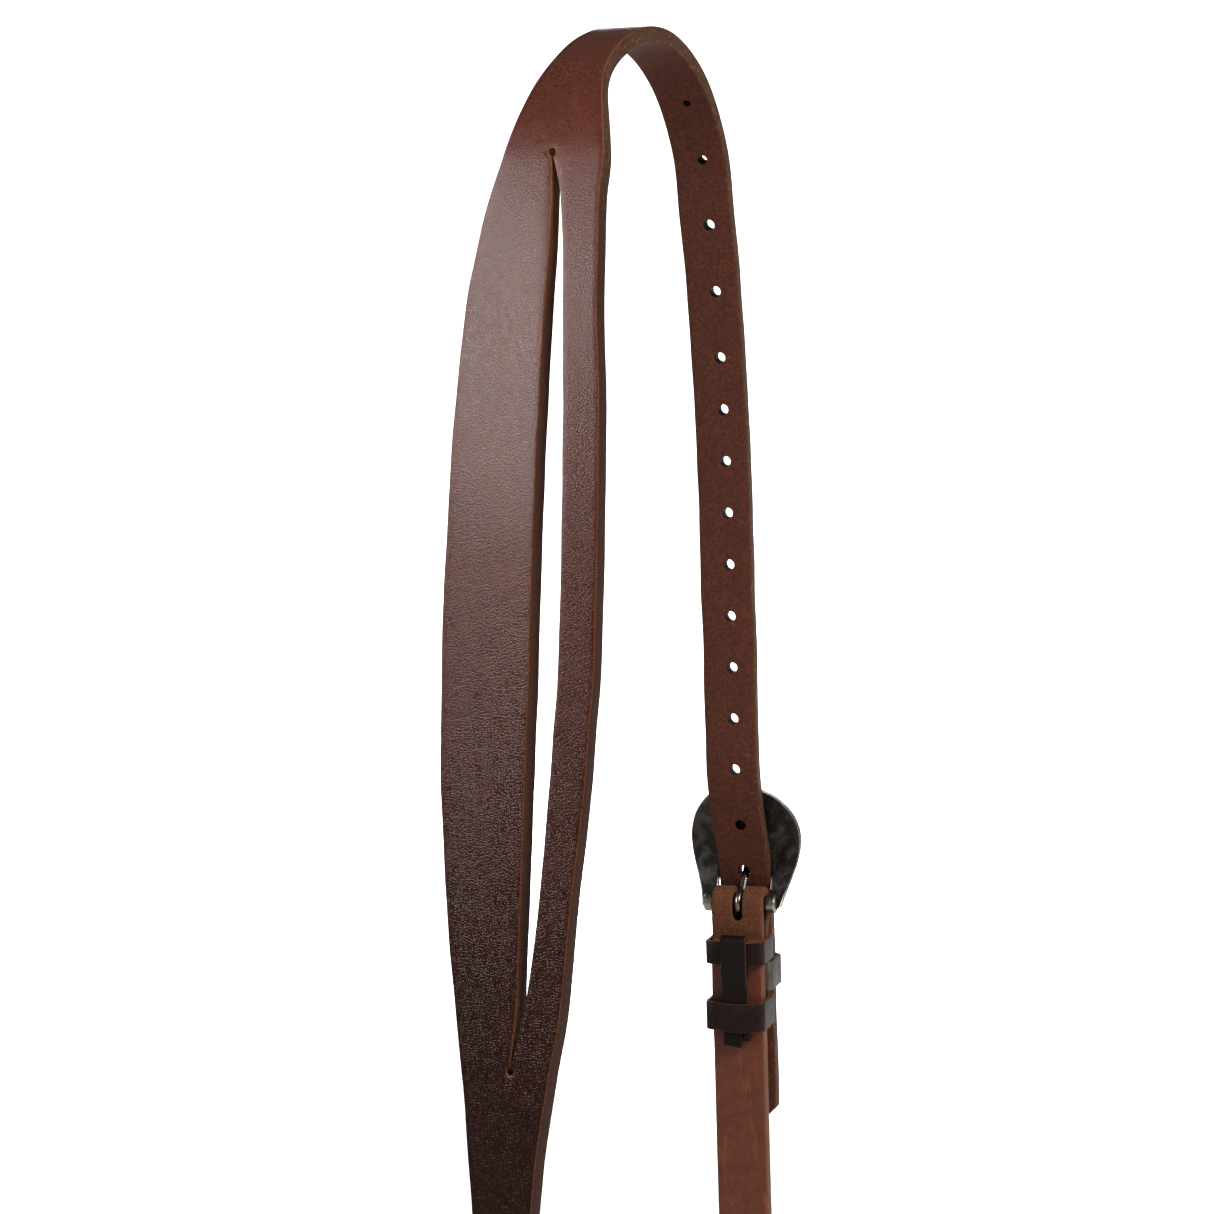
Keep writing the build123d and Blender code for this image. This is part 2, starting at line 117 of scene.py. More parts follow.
# outlines of the off side as (run below the poll, across): its two edges and the two sides of its slit
LEFT_EDGE = [(15, -8), (33, -10), (SLIT_TOP, -16.4), (74, -19.1), (84, -21.5), (94, -23.3), (104, -24.7),
             (145, -26.9), (190, -27.8), (235, -26.4), (277, -21.4), (SLIT_END, -15.8), (335, -12.4),
             (362, -9), (385, -8)]
RIGHT_EDGE = [(15, 8), (38, 8.3), (SLIT_TOP, 15.4), (77, 15.7), (105, 17.7), (131, 20.1), (159, 21.5),
              (190, 21.9), (213, 21.3), (242, 19.8), (264, 17.9), (295, 15.6), (SLIT_END, 13.4),
              (335, 9.6), (362, 8.1), (385, 8)]
WIDE_INNER = [(SLIT_TOP, -0.8), (84, 1.2), (145, 2.6), (250, 2.6), (290, 2.0), (SLIT_END, 0.6)]
NARROW_INNER = [(SLIT_TOP, -0.8), (77, 3.3), (104, 6.9), (145, 9.8), (190, 10.8), (235, 9.4),
                (275, 6.8), (298, 3.2), (SLIT_END, 0.6)]


# ---- shared maths

def eased(value):
    """Smooth step from 0 to 1."""
    held = min(max(value, 0.0), 1.0)
    return held * held * (3 - 2 * held)


def edge_at(points, run):
    """Smooth curve through the points of an outline, flat beyond its ends."""
    if run <= points[0][0]:
        return points[0][1]
    if run >= points[-1][0]:
        return points[-1][1]
    last = len(points) - 1
    i = max(k for k in range(last) if points[k][0] <= run)

    def slope(k):
        low = max(k - 1, 0)
        high = min(k + 1, last)
        return (points[high][1] - points[low][1]) / (points[high][0] - points[low][0])

    span = points[i + 1][0] - points[i][0]
    t = (run - points[i][0]) / span
    rise = points[i + 1][1] - points[i][1]
    start = slope(i) * span
    end = slope(i + 1) * span
    return points[i][1] + start * t + (3 * rise - 2 * start - end) * t**2 + (start + end - 2 * rise) * t**3


def strap_frame(side, run, extra_twist=0.0):
    """Origin, along, across and outward directions of a strap at a run."""
    (out, height), angle = SIDE_LINE(run)
    along = Vector((0, side * math.cos(angle), math.sin(angle)))
    full_twist = NEAR_TWIST if side > 0 else OFF_TWIST
    twist = math.radians(full_twist * eased(run / TWIST_RUN) + extra_twist)
    up = along * -1
    flat = (Vector((1, 0, 0)), Vector((0, -side * math.sin(angle), math.cos(angle))))
    across, outward = (way * math.cos(twist) + up.cross(way) * math.sin(twist) for way in flat)
    return Vector((0, side * out, height)), along, across, outward


def fan(whole, count):
    """Values from 0 to a whole, such as an angle, in a number of even steps."""
    return [whole * k / count for k in range(count + 1)]


def circle(count):
    """Angles once round, without the last, which is the first again."""
    return fan(2 * math.pi, count)[:-1]


def spaced(start, end, step):
    """Evenly spaced values from start to end, about a step apart."""
    count = max(1, math.ceil(abs(end - start) / step))
    return [start + (end - start) * k / count for k in range(count + 1)]


def route(start, heading, legs):
    """A flat path of straights and arcs. A leg is (length, radius), with a radius of 0 for a straight,
    above 0 to turn left and below 0 to turn right. Returns where(s), the point and heading at a length."""
    stations = [(0.0, start, heading)]
    for length, radius in legs:
        done, point, angle = stations[-1]
        stations.append((done + length, *step(point, angle, length, radius)))

    def where(s):
        i = max(k for k in range(len(legs)) if stations[k][0] <= max(s, 0))
        return step(stations[i][1], stations[i][2], s - stations[i][0], legs[i][1])

    where.total = stations[-1][0]
    where.marks = [station[0] for station in stations]
    return where


def step(point, angle, length, radius):
    """Moves along a straight or an arc."""
    if not radius:
        return (point[0] + length * math.cos(angle), point[1] + length * math.sin(angle)), angle
    turned = angle + length / radius
    return (point[0] + radius * (math.sin(turned) - math.sin(angle)),
            point[1] - radius * (math.cos(turned) - math.cos(angle))), turned


def bit_loop_legs(to_middle):
    """Legs of the strap end round the bit ring, for a line a distance outside the leather's middle."""
    middle = LOOP_RADIUS + LEATHER / 2
    turn = math.pi + LOOP_LEAN
    leave = -middle + middle * math.cos(turn)
    tab = -LEATHER - TAB_GAP
    line = (tab - leave - LOOP_EASE * (1 - math.cos(LOOP_LEAN))) / math.sin(LOOP_LEAN)
    return [((middle + to_middle) * turn, -(middle + to_middle)), (line, 0),
            ((LOOP_EASE - to_middle) * LOOP_LEAN, LOOP_EASE - to_middle), (TAB_LENGTH, 0)]


# the leather's middle from the poll outward: over the crown, through the flare and straight down
SIDE_LINE = route((0.0, LEATHER / 2), 0.0,
                  [(CROWN_RADIUS * CROWN_TURN, -CROWN_RADIUS),
                   (FLARE_RADIUS * (LEG_TURN - CROWN_TURN), -FLARE_RADIUS), (LOOP_RUN, 0)])
OFF_LOOP = route((0.0, 0.0), 0.0, [(STRAIGHT_END, 0)] + bit_loop_legs(0.0))


def slit_swell(run):
    """0 at the ends of the slit and 1 in its middle."""
    inside = min(max((run - SLIT_TOP) / (SLIT_END - SLIT_TOP), 0), 1)
    return math.sin(math.pi * inside)


def billet_out(run):
    """How far the billet has left the leather's line on its way over the heel bar."""
    return BILLET_OUT * eased((run - BILLET_RISE[0]) / (BILLET_RISE[1] - BILLET_RISE[0]))


# ---- places

def crown_place(run, across, out, band):
    """A point of the crown strap. Runs below 0 are on the off side. band is -1 left of the slit, 1 right."""
    if run >= 0:
        origin, _, wide, outward = strap_frame(1, run)
        return (origin + wide * across + outward * (out + billet_out(run))) * MM
    run = -run
    if run <= LOFT_END:
        extra = (WIDE_BAND_TWIST if band < 0 else NARROW_BAND_TWIST) * slit_swell(run)
        origin, _, wide, outward = strap_frame(-1, run, extra)
        return (origin + wide * across + outward * out) * MM
    origin, along, wide, outward = strap_frame(-1, LOOP_RUN)
    (down, rise), angle = OFF_LOOP(run - LOFT_END)
    down += out * -math.sin(angle) - STRAIGHT_END
    rise += out * math.cos(angle)
    return (origin + along * down + outward * rise + wide * across) * MM


BAR_ORIGIN, BAR_DOWN, BAR_ACROSS, BAR_OUTWARD = strap_frame(1, BAR_RUN)


def buckle_place(across, down, out):
    """A point in the buckle's own frame."""
    return (BAR_ORIGIN + BAR_ACROSS * across + BAR_DOWN * down + BAR_OUTWARD * out) * MM


FOLD_INNER = BAR_RADIUS + BAR_CLEARANCE
EASE_TURN = 2 * math.atan2(BAR_OUT + FOLD_INNER - FLAP_IN, FOLD_DOWN)
EASE_RADIUS = FOLD_DOWN / (2 * math.sin(EASE_TURN))
CHEEK_LINE = route((FLAP_END, FLAP_IN), math.pi,
                   [(FLAP_END - FOLD_DOWN, 0), (EASE_RADIUS * EASE_TURN, -EASE_RADIUS),
                    (EASE_RADIUS * EASE_TURN, EASE_RADIUS), (math.pi * FOLD_INNER, FOLD_INNER),
                    (LOOP_RUN - BAR_RUN, 0)] + bit_loop_legs(LEATHER / 2))
FOLD_TOP, FOLD_FOOT = CHEEK_LINE.marks[3], CHEEK_LINE.marks[4]


def cheek_place(run, across, out, band):
    """A point of the near cheek. Its line is the grain face, which touches the bar; it has no bands."""
    (down, rise), angle = CHEEK_LINE(run)
    return buckle_place(across, down + out * -math.sin(angle), rise + out * math.cos(angle))


# ---- meshes

def between(a, b, share):
    """The first two values of a point part of the way from one to another."""
    return a[0] + (b[0] - a[0]) * share, a[1] + (b[1] - a[1]) * share


def add_object(name, data):
    """A new object in the scene."""
    thing = bpy.data.objects.new(name, data)
    bpy.context.collection.objects.link(thing)
    return thing


def make_object(name, verts, faces, sharp=35.0, **layers):
    """A closed mesh object with smooth faces and its own named vertex layers, of numbers or of triples."""
    mesh = bpy.data.meshes.new(name)
    mesh.from_pydata([tuple(v) for v in verts], [], faces)
    for layer, values in layers.items():
        if isinstance(values[0], tuple):
            attribute = mesh.attributes.new(layer, "FLOAT_VECTOR", "POINT")
            attribute.data.foreach_set("vector", [c for v in values for c in v])
        else:
            attribute = mesh.attributes.new(layer, "FLOAT", "POINT")
            attribute.data.foreach_set("value", values)
    work = bmesh.new()
    work.from_mesh(mesh)
    bmesh.ops.recalc_face_normals(work, faces=work.faces)
    work.to_mesh(mesh)
    work.free()
    mesh.shade_smooth()
    mesh.set_sharp_from_angle(angle=math.radians(sharp))
    return add_object(name, mesh)


def loft_rings(name, rings, closed=False, sharp=35.0, **layers):
    """Skins closed rings of points into a solid. closed joins the last ring to the first."""
    count = len(rings[0])
    verts = [p for ring in rings for p in ring]
    faces = []
    for k in range(len(rings) if closed else len(rings) - 1):
        a = k * count
        b = ((k + 1) % len(rings)) * count
        for i in range(count):
            j = (i + 1) % count
            faces.append((a + i, a + j, b + j, b + i))
    if not closed:
        faces.append(tuple(range(count)))
        faces.append(tuple(range(len(verts) - count, len(verts))))
    return make_object(name, verts, faces, sharp, **layers)


# the kinds of opening, as the cut layer marks them
PUNCHED, SLIT, SMOOTH = 1.0, 0.5, 0.0


def both_sides(line, across, kind):
    """An opening's two sides, from (run, half width) pairs, and its kind."""
    return [[(run, across - half) for run, half in line], [(run, across + half) for run, half in line], kind]


def hole_contour(centre, across, radius, stretch=1.0):
    """A punched hole, longer down the strap by its stretch."""
    line = [(centre - stretch * radius * math.cos(t), radius * math.sin(t)) for t in fan(math.pi, 12)]
    return both_sides(line, across, PUNCHED)


def slot_contour(start, end, half):
    """A round-ended slot in the middle of a strap."""
    turns = fan(math.pi / 2, 8)
    first = [(start + half - half * math.cos(t), half * math.sin(t)) for t in turns]
    last = [(end - half + half * math.cos(t), half * math.sin(t)) for t in reversed(turns)]
    middle = [(run, half) for run in spaced(first[-1][0], last[0][0], 0.8)[1:-1]]
    return both_sides(first + middle + last, 0.0, SMOOTH)


def slit_contour():
    """The ear slit's two sides, with a punched hole at each end, from its low end to its top."""
    def sides(run):
        low, high = edge_at(WIDE_INNER, run), edge_at(NARROW_INNER, run)
        for hole in (SLIT_TOP, SLIT_END):
            if abs(run - hole) < SLIT_HOLE_RADIUS:
                middle = (low + high) / 2
                half = math.sqrt(SLIT_HOLE_RADIUS**2 - (run - hole)**2)
                low, high = min(low, middle - half), max(high, middle + half)
        return low, high

    fine = [SLIT_HOLE_RADIUS * -math.cos(t) for t in fan(math.pi, 14)]
    runs = [SLIT_TOP + f for f in fine] + spaced(SLIT_TOP + 1.6, SLIT_END - 1.6, 2.4)
    runs += [SLIT_END + f for f in fine]
    rows = [(-run, *sides(run)) for run in sorted(runs, reverse=True)]
    for end in (0, -1):
        run, low, high = rows[end]
        rows[end] = (run, (low + high) / 2, (low + high) / 2)
    return [[(run, low) for run, low, _ in rows], [(run, high) for run, _, high in rows], SLIT]


def outward_normals(side, sign):
    """Unit normals of one side of an opening, pointing into the leather, in the leather's own plane."""
    normals = [(-1.0, 0.0)]
    for before, after in zip(side, side[2:]):
        run, across = after[0] - before[0], after[1] - before[1]
        size = math.hypot(run, across) or 1.0
        normals.append((-sign * across / size, sign * run / size))
    return normals + [(1.0, 0.0)]


EDGE_BEVEL = 0.55
EDGE_SHAPE = [(1.0, 0.0, 0.0), (0.45, 0.12, 0.35), (0.12, 0.45, 0.7), (0.0, 1.0, 1.0)]


def edge_profile(bevel, top, bottom):
    """Points down a cut edge, as (how far in, height, side value): grain is 0, the edge 1 and flesh 2."""
    upper = [(bevel * inset, top - bevel * drop, value) for inset, drop, value in EDGE_SHAPE]
    lower = [(inset, top + bottom - height, 2 - value) for inset, height, value in reversed(upper)]
    return upper + [(0.0, (top + bottom) / 2, 1.0)] + lower


def strap_mesh(name, runs, left, right, place, openings, split=lambda run: 0.0,
               faces_at=lambda run: (LEATHER / 2, -LEATHER / 2), columns=6, wobble=0.0, rim=0.45):
    """A strap as one closed mesh of quads, with its openings, bevelled cut edges and the layers
    leather (run, across, out in mm), side (0 grain, 1 edge, 2 flesh) and cut (the kind of an opening)."""
    plain = [r for r in runs if all(not (o[0][0][0] - 1.0 < r < o[0][-1][0] + 1.0) for o in openings)]
    rows = [(r, None, 0) for r in plain]
    for opening in openings:
        rows += [(point[0], opening, i) for i, point in enumerate(opening[0])]
    rows.sort(key=lambda row: row[0])
    verts, at, side_values, cut_values, faces = [], [], [], [], []

    def add(run, across, out, band, value, cut=0.0):
        shift = wobble * noise.noise(Vector((run * 0.06, across * 0.02, 3.1)))
        verts.append(place(run, across + shift, out, band))
        at.append((run, across, out))
        side_values.append(value)
        cut_values.append(cut)
        return len(verts) - 1

    def wall(opening, band, i, top, bottom):
        edge = opening[0] if band < 0 else opening[1]
        run, across = edge[i]
        n_run, n_across = outward_normals(edge, band)[i]
        return [add(run + n_run * inset, across + n_across * inset, out, band, value, opening[2])
                for inset, out, value in edge_profile(rim, top, bottom)]

    table = []
    for run, opening, i in rows:
        top, bottom = faces_at(run)
        row = {key: [add(run, edge - band * inset, out, band, value)
                     for inset, out, value in edge_profile(EDGE_BEVEL, top, bottom)]
               for key, edge, band in (("L", left(run), -1), ("R", right(run), 1))}
        if opening:
            # the two sides of an opening meet in its first and last points
            row["WL"] = wall(opening, -1, i, top, bottom)
            apex = i in (0, len(opening[0]) - 1)
            row["WR"] = row["WL"] if apex else wall(opening, 1, i, top, bottom)
        else:
            middle = split(run)
            row["WL"] = row["WR"] = [add(run, middle, top, -1, 0.0), add(run, middle, bottom, -1, 2.0)]
        for key, outer, inner, band in (("left", "L", "WL", -1), ("right", "R", "WR", 1)):
            for face, end, value in (("grain", 0, 0.0), ("flesh", -1, 2.0)):
                first, last = row[outer][end], row[inner][end]
                filled = [add(*between(at[first], at[last], t), at[first][2], band, value)
                          for t in fan(1, columns)[1:-1]]
                row[key + face] = [first, *filled, last]
        table.append((row, opening))

    def strip(a, b):
        for j in range(len(a) - 1):
            unique = list(dict.fromkeys((a[j], a[j + 1], b[j + 1], b[j])))
            if len(unique) > 2:
                faces.append(tuple(unique))

    for (a, opening_a), (b, opening_b) in zip(table, table[1:]):
        keys = ["L", "R", "leftgrain", "leftflesh", "rightgrain", "rightflesh"]
        if opening_a is not None and opening_a is opening_b:
            keys += ["WL", "WR"]
        for key in keys:
            strip(a[key], b[key])
    for row, _ in (table[0], table[-1]):
        ring = row["leftgrain"] + row["rightgrain"][::-1][1:] + row["R"][1:]
        ring += row["rightflesh"][1:] + row["leftflesh"][::-1][1:] + row["L"][::-1][1:-1]
        faces.append(tuple(ring))
    return make_object(name, verts, faces, leather=at, side=side_values, cut=cut_values)


def rounded_ring(half, low, high, radius, count=5):
    """A rounded rectangle about x = 0 between two depths, as points (x, z)."""
    points = []
    corners = ((half, high, 0), (-half, high, 90), (-half, low, 180), (half, low, 270))
    for x, z, start in corners:
        cx = x - math.copysign(radius, x)
        cz = z - radius if z == high else z + radius
        for turn in fan(90, count):
            a = math.radians(start + turn)
            points.append((cx + radius * math.cos(a), cz + radius * math.sin(a)))
    return points


def dense_ring(points, spacing):
    """Adds points along the long sides of a ring."""
    out = []
    for k, a in enumerate(points):
        b = points[(k + 1) % len(points)]
        count = max(1, round(math.dist(a, b) / spacing))
        out += [between(a, b, t) for t in fan(1, count)[:-1]]
    return out


KEEPER_BEVEL = 0.35


def keeper(name, half, low, high, wall, down, corner, sag=0.0):
    """A loop of strip round the cheek: a closed band whose section is a thin rectangle with soft edges.
    sag bows its middle down the strap, as a tied loop does."""
    inner = dense_ring(rounded_ring(half, low, high, max(corner - wall, 0.25)), 1.2)
    outer = dense_ring(rounded_ring(half + wall, low - wall, high + wall, corner), 1.2)
    outer = even_points(outer, len(inner), closed=True)
    top, bottom = down
    t = KEEPER_BEVEL / wall
    soft = [(0, KEEPER_BEVEL, 0.0), (t * 0.3, KEEPER_BEVEL * 0.3, 0.5), (t, 0, 1.0)]
    soft += [(1 - share, drop, value) for share, drop, value in reversed(soft)]
    section = [(share, top + drop, value) for share, drop, value in soft] + [(1, (top + bottom) / 2, 0.0)]
    section += [(share, bottom - drop, value) for share, drop, value in reversed(soft)]
    rings, at, side_values = [], [], []
    travelled = 0.0
    for k, (a, b) in enumerate(zip(inner, outer)):
        bow = sag * (1 - (a[0] / half) ** 2)
        travelled += math.dist(a, inner[k - 1]) if k else 0.0
        ring = []
        for share, y, value in section:
            x, z = between(a, b, share)
            front = 1.0 if z < 0 else 0.35
            ring.append(buckle_place(x, y + bow * front, z))
            at.append((travelled, y, share * wall))
            side_values.append(value)
        rings.append(ring)
    return loft_rings(name, rings, closed=True, leather=at, side=side_values)


def even_points(points, count, closed=False):
    """The same outline with a given number of evenly spaced points."""
    line = points + points[:1] if closed else points
    lengths = [0.0]
    for a, b in zip(line, line[1:]):
        lengths.append(lengths[-1] + math.dist(a, b))
    out = []
    for k in range(count):
        want = lengths[-1] * k / (count if closed else count - 1)
        i = max(j for j in range(len(line) - 1) if lengths[j] <= want + 1e-9)
        t = (want - lengths[i]) / (lengths[i + 1] - lengths[i])
        out.append(between(line[i], line[i + 1], t))
    return out


def smooth_line(points, count):
    """Points along a Catmull-Rom curve through given points."""
    out = []
    for i in range(len(points) - 1):
        p0 = points[max(i - 1, 0)]
        p1, p2 = points[i], points[i + 1]
        p3 = points[min(i + 2, len(points) - 1)]
        for k in range(count):
            t = k / count
            out.append(tuple(0.5 * (2 * b + (c - a) * t + (2 * a - 5 * b + 4 * c - d) * t**2
                                    + (3 * b - a - 3 * c + d) * t**3)
                             for a, b, c, d in zip(p0, p1, p2, p3)))
    return out + [tuple(points[-1])]


def tube(name, points, radii, sides=16):
    """A round bar along points in the buckle's frame."""
    spots = [buckle_place(*p) for p in points]
    turns = circle(sides)
    rings = []
    normal = Vector((1, 0.3, 0.2))
    for i, spot in enumerate(spots):
        ahead = (spots[min(i + 1, len(spots) - 1)] - spots[max(i - 1, 0)]).normalized()
        normal = (normal - ahead * normal.dot(ahead)).normalized()
        other = ahead.cross(normal)
        rings.append([spot + (normal * math.cos(a) + other * math.sin(a)) * radii[i] * MM for a in turns])
    return loft_rings(name, rings, sharp=50)


def domed(points, radius, steps=4):
    """Adds a rounded end past each end of a tube's points, and gives the radii."""
    first, second, before, last = (Vector(points[k]) for k in (0, 1, -2, -1))
    turns = fan(math.pi / 2, steps)[:0:-1]

    def cap(centre, way, angles):
        return [(tuple(centre + way * radius * math.sin(t)), radius * max(math.cos(t), 0.05))
                for t in angles]

    line = cap(first, (first - second).normalized(), turns) + [(tuple(p), radius) for p in points]
    line += cap(last, (last - before).normalized(), reversed(turns))
    return [p for p, _ in line], [r for _, r in line]


# ---- materials

def srgb(red, green, blue):
    """A linear colour from an 8-bit sRGB one."""
    def linear(value):
        value /= 255
        return ((value + 0.055) / 1.055) ** 2.4 if value > 0.04045 else value / 12.92
    return (linear(red), linear(green), linear(blue), 1.0)


class Nodes:
    """Short ways to build a material's node tree."""

    def __init__(self, name):
        self.material = bpy.data.materials.new(name)
        self.material.use_nodes = True
        self.tree = self.material.node_tree
        self.shader = self.tree.nodes["Principled BSDF"]

    def add(self, kind, inputs=None, **settings):
        node = self.tree.nodes.new("ShaderNode" + kind)
        for key, value in settings.items():
            setattr(node, key, value)
        for key, value in (inputs or {}).items():
            self.put(node.inputs[key], value)
        return node

    def put(self, socket, value):
        if isinstance(value, bpy.types.NodeSocket):
            self.tree.links.new(value, socket)
        else:
            socket.default_value = value

    def position(self):
        """Place on the object at rest, in millimetres."""
        spot = self.add("TexCoord").outputs["Object"]
        return self.add("VectorMath", {0: spot, "Scale": 1000.0}, operation="SCALE").outputs[0]

    def layer(self, name, output="Fac"):
        return self.add("Attribute", attribute_name=name).outputs[output]

    def stretched(self, vector, scale):
        return self.add("VectorMath", {0: vector, 1: scale}, operation="MULTIPLY").outputs[0]

    def noise(self, vector, scale, detail=4.0, rough=0.55, distort=0.0):
        return self.add("TexNoise", {"Vector": vector, "Scale": scale, "Detail": detail, "Roughness": rough,
                                     "Distortion": distort}).outputs[0]

    def cells(self, vector, scale, feature="DISTANCE_TO_EDGE"):
        node = self.add("TexVoronoi", {"Vector": vector, "Scale": scale}, feature=feature)
        return node.outputs["Distance"]

    def ramp(self, value, low, high, start=0.0, end=1.0):
        """Moves a value from low..high to start..end, smoothly and held at both ends."""
        return self.add("MapRange", {"Value": value, "From Min": low, "From Max": high, "To Min": start,
                                     "To Max": end}, interpolation_type="SMOOTHSTEP").outputs[0]

    def maths(self, kind, a, b=0.0):
        return self.add("Math", {0: a, 1: b}, operation=kind).outputs[0]

    def times(self, a, b):
        return self.maths("MULTIPLY", a, b)

    def cut_edge(self, side):
        """1 on a strap's cut edge and 0 on its faces."""
        return self.times(self.ramp(side, 0.3, 0.62), self.ramp(side, 1.7, 1.38))

    def mix(self, factor, a, b):
        return self.add("Mix", {0: factor, 6: a, 7: b}, data_type="RGBA").outputs[2]

    def shade(self, value, low, high, colour, dark, light):
        """A colour from its dark share to its light one as a value rises."""
        return self.mix(self.ramp(value, low, high), tint(colour, dark), tint(colour, light))

    def coats(self, colour, *coats):
        """A colour with others laid over it in turn, each given as (how much of it, colour)."""
        for share, coat in coats:
            colour = self.mix(share, colour, coat)
        return colour

    def blend(self, factor, a, b):
        return self.add("Mix", {0: factor, 2: a, 3: b}, data_type="FLOAT").outputs[0]

    def bumps(self, *reliefs):
        """Reliefs laid one on another, each given as (height, strength, distance in metres)."""
        normal = {}
        for height, strength, distance in reliefs:
            node = self.add("Bump", {"Height": height, "Strength": strength, "Distance": distance, **normal})
            normal = {"Normal": node.outputs[0]}
        return normal["Normal"]

    def finish(self, **inputs):
        for key, value in inputs.items():
            self.put(self.shader.inputs[key.replace("_", " ")], value)
        return self.material


# painted shade: the near black laid on the walls of punched holes
PAINTED_HOLE_SHADE = (0.0025, 0.002, 0.0018, 1.0)


def harness_leather(name, grain, flesh, edge, fleck, grain_rough, shine):
    """Oiled harness leather: pebbled grain face, mottled flesh side, fibrous cut edge."""
    n = Nodes(name)
    spot = n.position()
    lay = n.layer("leather", "Vector")
    side = n.layer("side")
    cut = n.layer("cut")
    is_flesh = n.ramp(side, 1.3, 1.7)
    is_edge = n.cut_edge(side)

    broad = n.noise(spot, 0.045, 3.0, 0.6)
    middle = n.noise(spot, 0.16, 4.0, 0.6, 0.4)
    blot = n.noise(spot, 1.1, 5.0, 0.68, 0.6)
    fine = n.noise(spot, 2.1, 3.0, 0.6)
    pores = n.cells(spot, 1.4)
    wrinkle = n.noise(n.stretched(lay, (1.15, 0.3, 0.4)), 1.0, 4.0, 0.62, 1.6)
    fibre = n.noise(n.stretched(lay, (0.5, 2.4, 1.0)), 1.0, 6.0, 0.75, 2.2)
    layers = n.noise(n.stretched(lay, (0.16, 0.3, 2.6)), 1.0, 5.0, 0.7, 0.8)

    # grain face: dark, a little cloudy, redder in places, with a few pale specks and dark pores
    reddened = n.times(n.ramp(broad, 0.4, 0.66), n.ramp(blot, 0.35, 0.65, 0.1, 0.3))
    speck = n.times(n.ramp(n.cells(spot, 0.11, "F1"), 0.06, 0.04), n.ramp(middle, 0.5, 0.55))
    cloud = n.coats(n.shade(middle, 0.35, 0.7, grain, 0.9, 1.1),
                    (reddened, tint(grain, 1.5, 1.02, 0.85)),
                    (n.times(speck, 0.15), fleck),
                    (n.ramp(pores, 0.2, 0.04, 0.0, 0.8), tint(grain, 0.4)))

    # flesh side: redder, finely mottled, with reddish rings round the punched holes
    lint = n.times(n.ramp(n.cells(spot, 0.17, "F1"), 0.085, 0.05), n.ramp(broad, 0.5, 0.6))
    mottle = n.coats(tint(flesh, 0.6, 0.78, 0.95),
                     (n.ramp(blot, 0.38, 0.62), tint(flesh, 1.25)),
                     (n.ramp(middle, 0.4, 0.7, 0.0, 0.35), tint(flesh, 0.62)),
                     (n.ramp(fibre, 0.6, 0.8, 0.0, 0.25), tint(flesh, 1.7)),
                     (n.times(lint, 0.3), fleck),
                     (n.ramp(cut, 0.55, 1.0, 0.0, 0.6), tint(flesh, 1.5, 1.0, 0.8)))

    # cut edge: burnished, with long layers and pale fibres, raw and orange near the ends of the slit. It is
    # painted darker down the off side as shade, and painted near black in holes as shade
    along = n.add("SeparateXYZ", {0: lay}).outputs[0]
    run = n.maths("ABSOLUTE", along)
    raw = n.times(n.ramp(fibre, 0.5, 0.66), n.ramp(blot, 0.42, 0.6))
    is_slit = n.times(n.ramp(cut, 0.2, 0.45), n.ramp(cut, 0.8, 0.6))
    by_end = n.maths("ADD", n.ramp(run, SLIT_TOP + 12, SLIT_TOP + 50, 0.4, 0.08),
                     n.ramp(run, SLIT_END - 30, SLIT_END - 8, 0.0, 0.35))
    orange = n.times(by_end, n.ramp(layers, 0.3, 0.62, 0.2, 1.0))
    rim = n.coats(n.shade(layers, 0.36, 0.64, edge, 0.3, 1.15),
                  (n.times(raw, 0.8), tint(fleck, 0.8)),
                  (n.ramp(along, -50, -100, 0.0, 0.85), tint(grain, 0.6)),
                  (n.times(is_slit, orange), tint(fleck, 0.5)),
                  (n.ramp(cut, 0.7, 0.9, 0.0, 0.92), PAINTED_HOLE_SHADE))

    # the crease beside the edge has rubbed paler
    crease = n.times(n.ramp(side, 0.05, 0.3), n.ramp(side, 0.75, 0.5))
    colour = n.coats(cloud, (is_flesh, mottle), (is_edge, rim),
                     (n.times(crease, n.ramp(fine, 0.35, 0.6, 0.1, 0.5)), tint(fleck, 0.5)))

    polish = n.ramp(run, SLIT_TOP + 90, SLIT_END, 0.0, -0.07)
    polish = n.maths("ADD", n.ramp(middle, 0.3, 0.7, grain_rough - 0.04, grain_rough + 0.06), polish)
    rough = n.blend(is_flesh, polish, n.ramp(fibre, 0.3, 0.7, 0.62, 0.85))
    rough = n.blend(is_edge, rough, n.ramp(layers, 0.3, 0.7, 0.55, 0.72))

    normal = n.bumps((n.ramp(pores, 0.0, 0.27), n.blend(is_flesh, 0.25, 0.05), 0.00015),
                     (fine, n.blend(is_flesh, 0.08, 0.5), 0.0002),
                     (wrinkle, n.blend(is_flesh, 0.05, 0.15), 0.0004),
                     (n.maths("ADD", fibre, blot), n.blend(is_flesh, 0.01, 0.4), 0.0003),
                     (layers, n.blend(is_edge, 0.0, 0.5), 0.0003))
    return n.finish(Base_Color=colour, Roughness=rough, Normal=normal, Specular_IOR_Level=shine)


def tint(colour, *shares):
    """A colour made lighter or darker, by one share or by one for each channel."""
    each = shares if len(shares) == 3 else shares * 3
    return tuple(min(value * share, 1.0) for value, share in zip(colour, each)) + (1.0,)


